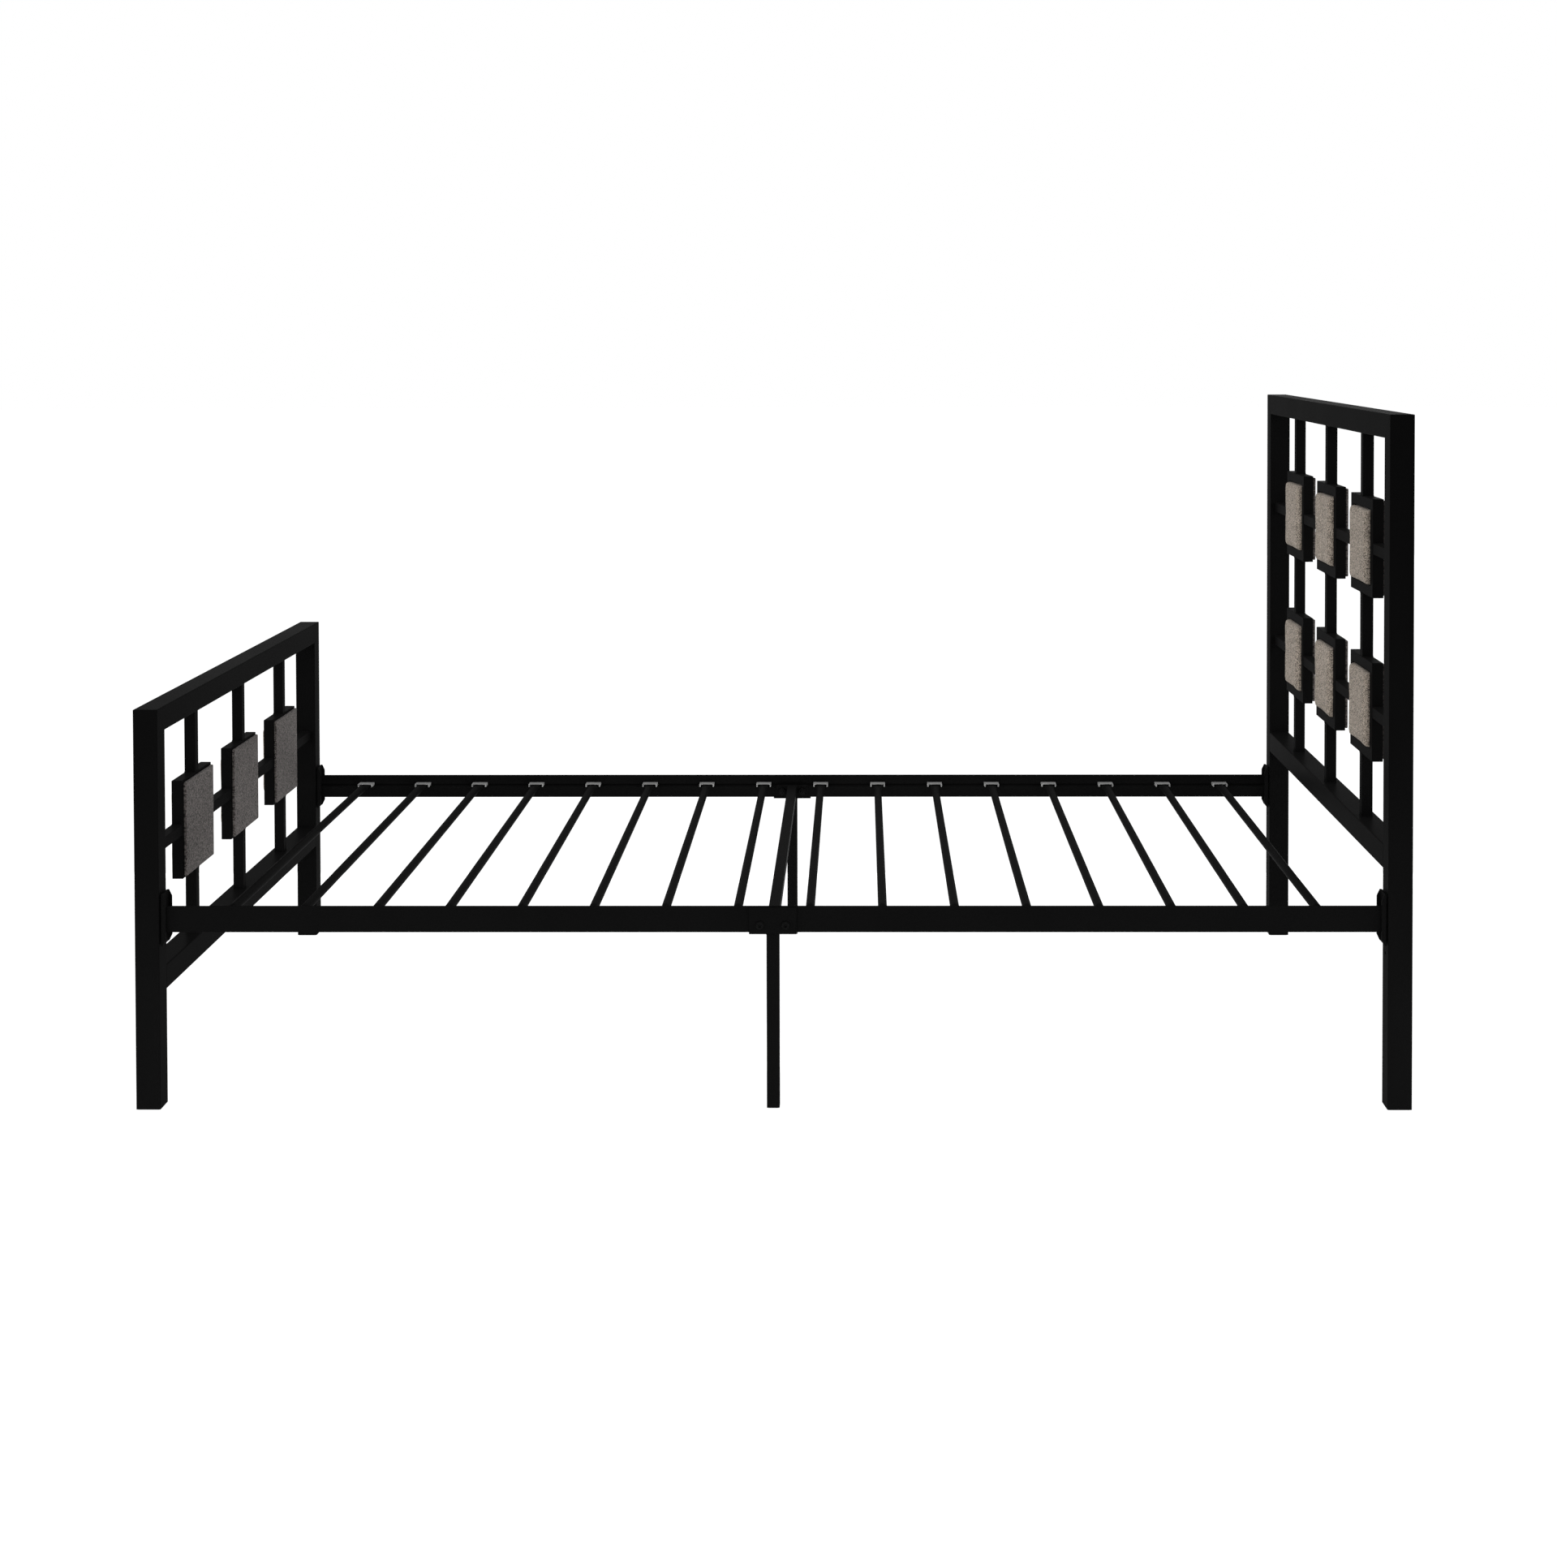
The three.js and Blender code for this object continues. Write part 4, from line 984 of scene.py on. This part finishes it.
def make_bolts():
    """Button-head bolts with a hexagon socket, and nuts with turned-off corners."""
    low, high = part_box("leg_bolt_left_1")
    x = centre("leg_bolt_left_1")[0]
    crown_y, end_y = high.y, low.y
    head_y = crown_y - HEAD_HEIGHT
    nut_y = end_y + BOLT_END + NUT_HEIGHT
    place = crosswise(x, BOLT_HEIGHT)
    dome = [(HEAD_RADIUS, head_y), (HEAD_RADIUS, head_y + HEAD_RIM)]
    for a, b in arc(0, 0, 1.0, 0, 90, 7)[1:]:
        dome.append((HEAD_FLAT + (HEAD_RADIUS - HEAD_FLAT) * a,
                     head_y + HEAD_RIM + (HEAD_HEIGHT - HEAD_RIM) * b))
    head = make_turning("head", dome, place, 36)
    socket = make_turning(
        "socket", ((SOCKET_RADIUS, crown_y - SOCKET_DEPTH), (SOCKET_RADIUS, crown_y + CUT_PAST)),
        place, 6)
    soften(cut(head, [socket]), HEAD_EDGE, angle=50)
    thread = [(BOLT_RADIUS, head_y + HEAD_OVERLAP), (BOLT_RADIUS, nut_y)]
    y = nut_y
    while y - THREAD_PITCH > end_y + THREAD_RUNOUT:
        thread.append((BOLT_RADIUS - THREAD_DEPTH, y - THREAD_PITCH / 2))
        y -= THREAD_PITCH
        thread.append((BOLT_RADIUS, y))
    thread.append((BOLT_RADIUS - BOLT_END_CHAMFER, end_y))
    shank = make_turning("shank", thread, place, 24)
    rows = [(NUT_RADIUS * share, nut_y - NUT_HEIGHT + depth) for depth, share in NUT_CHAMFER]
    rows += [(NUT_RADIUS * share, nut_y - depth) for depth, share in reversed(NUT_CHAMFER)]
    nut = make_turning("nut", rows, place, 48, nut_reach)
    left = merged("bolt", [head, shank, nut])
    right = turned_copy(left, "bolt_right", (2 * x, 0, 0))
    bolts = merged("leg_bolts", [left, right])
    repeat(bolts, copies, columns=2, column_step=(BOLT_SPACING, 0, 0), finish=bolt_coat)
    names = [f"leg_bolt_{side}_{number}" for side in ("left", "right") for number in (1, 2)]
    finished(shade(bolts, 30), bolt_coat, names)


# ---- Foot plugs ----

def make_plug(node):
    """A plastic cup with a rounded foot, pushed into the bottom of a tube."""
    low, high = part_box(node)
    x, y, _ = centre(node)
    size = high.x - low.x
    inside = size - 2 * PLUG_WALL
    rows = [(size - 2 * short, rise) for short, rise in rolled_edge(PLUG_EDGE, 4)]
    rows += [(size, PLUG_HEIGHT - PLUG_LEAD), (size - PLUG_TAPER, PLUG_HEIGHT),
             (inside, PLUG_HEIGHT), (inside, PLUG_WALL)]
    rings = [[(x + a, y + b, low.z + z) for a, b in rounded_loop(width, width, PLUG_CORNER, 4)]
             for width, z in rows]
    finished(shade(skinned(f"{node}_cup", rings)), plug_plastic, [node])


for board, end, rows in BOARDS:
    for side_name, side in SIDES:
        make_post(board, end, side_name, side)
        make_plug(f"{board}_plug_{side_name}")
    make_board_rails(board)
    make_grille(board, rows)

make_side_rails()
make_centre_legs()
make_beam()
make_bolts()
for side_name, side in SIDES:
    make_plug(f"centre_plug_{side_name}")


# ---- Slats and their caps ----

def slat_ring(x, y, half_width, half_height, roundness, height, sides=24):
    """Points round a slat at one place along it."""
    bend = lambda value: math.copysign(abs(value) ** roundness, value)
    points = []
    for i in range(sides):
        angle = (i + 0.5) / sides * 2 * math.pi
        points.append((x + half_width * bend(math.cos(angle)), y,
                       height + half_height * bend(math.sin(angle))))
    return points


def make_slat(x, tongue_height, tip_y):
    """A round tube pressed flat at both ends."""
    round_y = tip_y - TONGUE_LENGTH - SWAGE_LENGTH
    rise = tongue_height - SLAT_HEIGHT
    half = [(y, SLAT_RADIUS, SLAT_RADIUS, 1.0, 0.0) for y in np.linspace(0, round_y, 5)]
    steps = 8
    for i in range(1, steps + 1):
        share = i / steps
        ease = share * share * (3 - 2 * share)
        half.append((
            round_y + share * SWAGE_LENGTH,
            SLAT_RADIUS + ease * (TONGUE_HALF_WIDTH - SLAT_RADIUS),
            SLAT_RADIUS + ease * (TONGUE_HALF_THICKNESS - SLAT_RADIUS),
            1.0 - ease * (1.0 - TONGUE_ROUNDNESS),
            ease * rise,
        ))
    half.append((tip_y, TONGUE_HALF_WIDTH, TONGUE_HALF_THICKNESS, TONGUE_ROUNDNESS, rise))
    mirrored = [(-y, *rest) for y, *rest in reversed(half)]
    rings = [slat_ring(x, y, half_width, half_height, roundness, SLAT_HEIGHT + lift)
             for y, half_width, half_height, roundness, lift in mirrored[:-1] + half]
    return skinned("slats", rings)


def make_cap(back_y, bottom):
    """A moulded hood over a slat's end, open to the slat and below."""
    half = CAP_WIDTH / 2
    inside = half - CAP_LEG
    front_y = back_y - CAP_DEPTH
    top = bottom + CAP_HEIGHT
    hood = make_box("cap", (-half, front_y, bottom), (half, back_y, top))
    pocket = make_box("pocket", (-inside, front_y - CAP_WALL, bottom - CAP_WALL),
                      (inside, back_y - CAP_WALL, top - CAP_LIP))
    return soften(cut(hood, [pocket]), CAP_EDGE, 3)


slat_names = [f"slat_{n:02d}" for n in range(1, SLAT_COUNT + 1)]
slat_x = centre(slat_names[0])[0]
cap_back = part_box(slat_names[0])[1].y
cap_bottom = rail_bottom + RAIL_LEDGE + SEAT
along_the_bed = {"columns": SLAT_COUNT, "column_step": (SLAT_PITCH, 0, 0)}

slats = make_slat(slat_x, cap_bottom + TONGUE_HALF_THICKNESS, cap_back - CAP_WALL - TONGUE_PLAY)
repeat(slats, copies, finish=slat_coat, **along_the_bed)
finished(shade(slats, 60), slat_coat, slat_names)

left_cap = make_cap(cap_back, cap_bottom)
slat_caps = merged("slat_caps", [left_cap, turned_copy(left_cap, "cap_right")])
slat_caps.data.transform(Matrix.Translation((slat_x, 0, 0)))
repeat(slat_caps, copies, finish=cap_plastic, **along_the_bed)
finished(shade(slat_caps), cap_plastic, slat_names)


# ---- Padded squares ----

def cloth_map(piece, low, high, front, roll):
    """Lays the cloth's own lengths on a pad: flat over the front, and folded out
    over the sides. Each pad is cut from its own place in the cloth."""
    mesh = piece.data
    layer = mesh.uv_layers.new(name="cloth")
    places = points_of(piece)
    middle = (np.array(low) + np.array(high)) / 2
    half = (np.array(high) - np.array(low)) / 2
    away = places[:, 1:] - middle[1:]
    behind = np.abs(places[:, :1] - front)
    near = np.clip((np.abs(away) - (half[1:] - roll)) / roll, 0, 1)
    start = (2.0 + 1.1 * middle[1], 1.7 * middle[2] + 0.9 * middle[0])
    spot = away + np.sign(away) * behind * near + start
    corner = np.empty(len(mesh.loops), dtype=np.int32)
    mesh.loops.foreach_get("vertex_index", corner)
    layer.data.foreach_set("uv", spot[corner].ravel())


def padded_form(name, low, high, rows, corner, corner_fall, steps):
    """A block between rows of distance and pull, with corners that shrink with it."""
    size_y, size_z = high.y - low.y, high.z - low.z
    middle_y, middle_z = (low.y + high.y) / 2, (low.z + high.z) / 2
    rings = []
    for x, pull in rows:
        section = rounded_loop(size_y - 2 * pull, size_z - 2 * pull,
                               corner - corner_fall * pull, steps)
        rings.append([(x, middle_y + y, middle_z + z) for y, z in section])
    return skinned(name, rings)


def pull_cover(piece, back):
    """Lets the cover of a pad pull and swell for a moment, then keeps its shape."""
    remesh = piece.modifiers.new("even mesh", "REMESH")
    remesh.mode = "VOXEL"
    remesh.voxel_size = COVER_MESH
    remesh.use_smooth_shade = True
    before = points_of(settle(piece))
    pinned = np.flatnonzero(np.abs(before[:, 0] - back) < PAD_PINNED)
    piece.vertex_groups.new(name="held").add(pinned.tolist(), 1.0, "REPLACE")
    cover = piece.modifiers.new("cover", "CLOTH")
    for key, value in COVER_CLOTH.items():
        setattr(cover.settings, key, value)
    cover.settings.vertex_group_mass = "held"
    cover.settings.effector_weights.gravity = 0.0
    cover.point_cache.frame_start = 1
    cover.point_cache.frame_end = COVER_MOMENTS
    scene = bpy.context.scene
    for moment in range(1, COVER_MOMENTS + 1):
        scene.frame_set(moment)
    moved = points_of(settle(piece)) - before
    length = np.linalg.norm(moved, axis=1, keepdims=True)
    put_points(piece, before + moved * np.minimum(1.0, COVER_SWELL / np.maximum(length, 1e-9)))
    scene.frame_set(1)


def press_sides(places, low, high):
    """Flattens a pad's sides against the ring that holds it."""
    for axis in (1, 2):
        middle = (low[axis] + high[axis]) / 2
        half = (high[axis] - low[axis]) / 2
        limit = half + PAD_SLACK
        away = np.abs(places[:, axis] - middle) * (half + PAD_PRESS) / half
        away = (away + limit - np.sqrt((away - limit) ** 2 + PAD_EASE ** 2)) / 2
        side = np.sign(places[:, axis] - middle)
        places[:, axis] = middle + side * np.maximum(away, 0)
    places[:, 0] = np.clip(places[:, 0], low.x, high.x)


def make_cushion(node):
    """A foam pad under a woven cover, held in a ring from behind. It faces the foot."""
    low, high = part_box(node)
    inset = Vector((0, PAD_INSET, PAD_INSET))
    rows = [(high.x, 0.0)] + [(low.x + short, pull) for short, pull in rolled_edge(PAD_ROLL, 5)]
    piece = padded_form(f"{node}_cover", low + inset, high - inset, rows, PAD_CORNER,
                        PAD_CORNER_FALL, 3)
    pull_cover(piece, high.x)
    fine = piece.modifiers.new("fine mesh", "SUBSURF")
    fine.levels = 1
    fine.render_levels = 1
    places = points_of(settle(piece))
    press_sides(places, low, high)
    put_points(piece, places)
    cloth_map(piece, low, high, low.x, PAD_ROLL)
    piece.data.shade_smooth()
    finished(piece, beige_cloth, [node])


def make_back_board(node):
    """A thin board wrapped in cloth that closes a ring from behind."""
    low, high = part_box(node)
    edge = rolled_edge(BOARD_ROLL, 4)
    rows = [(low.x + short, pull) for short, pull in reversed(edge)]
    rows += [(high.x - short, pull) for short, pull in edge]
    piece = padded_form(f"{node}_cover", low, high, rows, BOARD_CORNER, 1.0, 4)
    cloth_map(piece, low, high, high.x, BOARD_ROLL)
    finished(shade(piece, 50), grey_cloth, [node])


for board, count in (("head", 6), ("foot", 3)):
    for number in range(1, count + 1):
        make_cushion(f"{board}_cushion_{number}")
        make_back_board(f"{board}_back_board_{number}")


# ---- Floor, light and camera ----

SOFTBOXES = (
    # name, place, aim, width and height, watts
    ("overhead softbox", (0.0, 0.0, 3.2), (0, 0, 0.4), (3.5, 2.5), 18),
    ("foot side softbox", (-5.0, -1.1, 2.1), (0, 0, 0.5), (3.0, 3.0), 150),
    ("head side softbox", (5.0, -1.1, 2.1), (0, 0, 0.5), (3.0, 3.0), 150),
    ("low front softbox", (0.0, -1.0, 0.05), (0, 0, 0.05), (4.0, 0.2), 13),
    ("front softbox", (0.0, -8.0, 0.8), (0, 0, 0.8), (12.0, 1.4), 162),
    ("back softbox", (0.0, 8.0, 0.8), (0, 0, 0.8), (12.0, 1.4), 150),
    ("middle softbox", (0.0, -0.35, 0.12), (0, 1, 0.12), (1.3, 0.12), 4.6),
    ("low back softbox", (0.0, 1.0, 0.05), (0, 0, 0.05), (4.0, 0.2), 13),
)

WHITE = (1, 1, 1, 1)
FLOOR_REACH = 30
FLOOR_DEPTH = 0.02
FLOOR_GREY = (0.15, 0.15, 0.15, 1)
FLOOR_GLOW = 0.97
SKY_LIGHT = 0.4

CAMERA_PLACE = (0.13615, -3.97259, 1.21341)
CAMERA_TURN = (90 - 1.3869, 0.0993, 0.3473)
CAMERA_LENS = 51.4975
CAMERA_SHIFT = (-0.043, -0.256)


def seen_share(nodes):
    """A share that is 1 where the eye, a reflection or glass looks at this."""
    path = nodes.add("ShaderNodeLightPath").outputs
    seen = nodes.maths("MAXIMUM", path["Is Camera Ray"], path["Is Glossy Ray"])
    return nodes.maths("MAXIMUM", seen, path["Is Transmission Ray"])


def make_floor():
    floor = make_box("studio_floor", (-FLOOR_REACH, -FLOOR_REACH, -FLOOR_DEPTH),
                     (FLOOR_REACH, FLOOR_REACH, 0.0))
    finish, nodes, shader = new_finish("studio floor")
    glow = nodes.maths("MULTIPLY", seen_share(nodes), FLOOR_GLOW)
    nodes.fill(shader, Base_Color=FLOOR_GREY, Roughness=0.9, Specular_IOR_Level=0.0,
               Emission_Color=WHITE, Emission_Strength=glow)
    floor.data.materials.append(finish)


def make_world():
    """Soft light from all around, and white where the eye looks past the bed."""
    world = bpy.data.worlds.new("studio")
    bpy.context.scene.world = world
    world.use_nodes = True
    world.node_tree.nodes.clear()
    nodes = Nodes(world.node_tree)
    level = nodes.maths("MULTIPLY_ADD", seen_share(nodes), 1 - SKY_LIGHT, SKY_LIGHT)
    sky = nodes.add("ShaderNodeBackground", Color=WHITE, Strength=level)
    nodes.add("ShaderNodeOutputWorld", Surface=sky.outputs[0])


def make_softbox(name, place, aim, size, watts):
    lamp = bpy.data.lights.new(name, "AREA")
    lamp.shape = "RECTANGLE"
    lamp.size, lamp.size_y = size
    lamp.energy = watts
    holder = link(name, lamp)
    holder.location = place
    holder.rotation_euler = (Vector(aim) - Vector(place)).to_track_quat("-Z", "Y").to_euler()
    holder.visible_camera = False
    holder.visible_glossy = False


def make_camera():
    eye = bpy.data.cameras.new("camera")
    eye.sensor_width = 36.0
    eye.lens = CAMERA_LENS
    eye.shift_x, eye.shift_y = CAMERA_SHIFT
    camera = link("camera", eye)
    camera.location = CAMERA_PLACE
    camera.rotation_mode = "XYZ"
    camera.rotation_euler = [math.radians(angle) for angle in CAMERA_TURN]
    bpy.context.scene.camera = camera


make_floor()
make_world()
for softbox in SOFTBOXES:
    make_softbox(*softbox)
make_camera()

bpy.context.scene.view_settings.view_transform = "Standard"
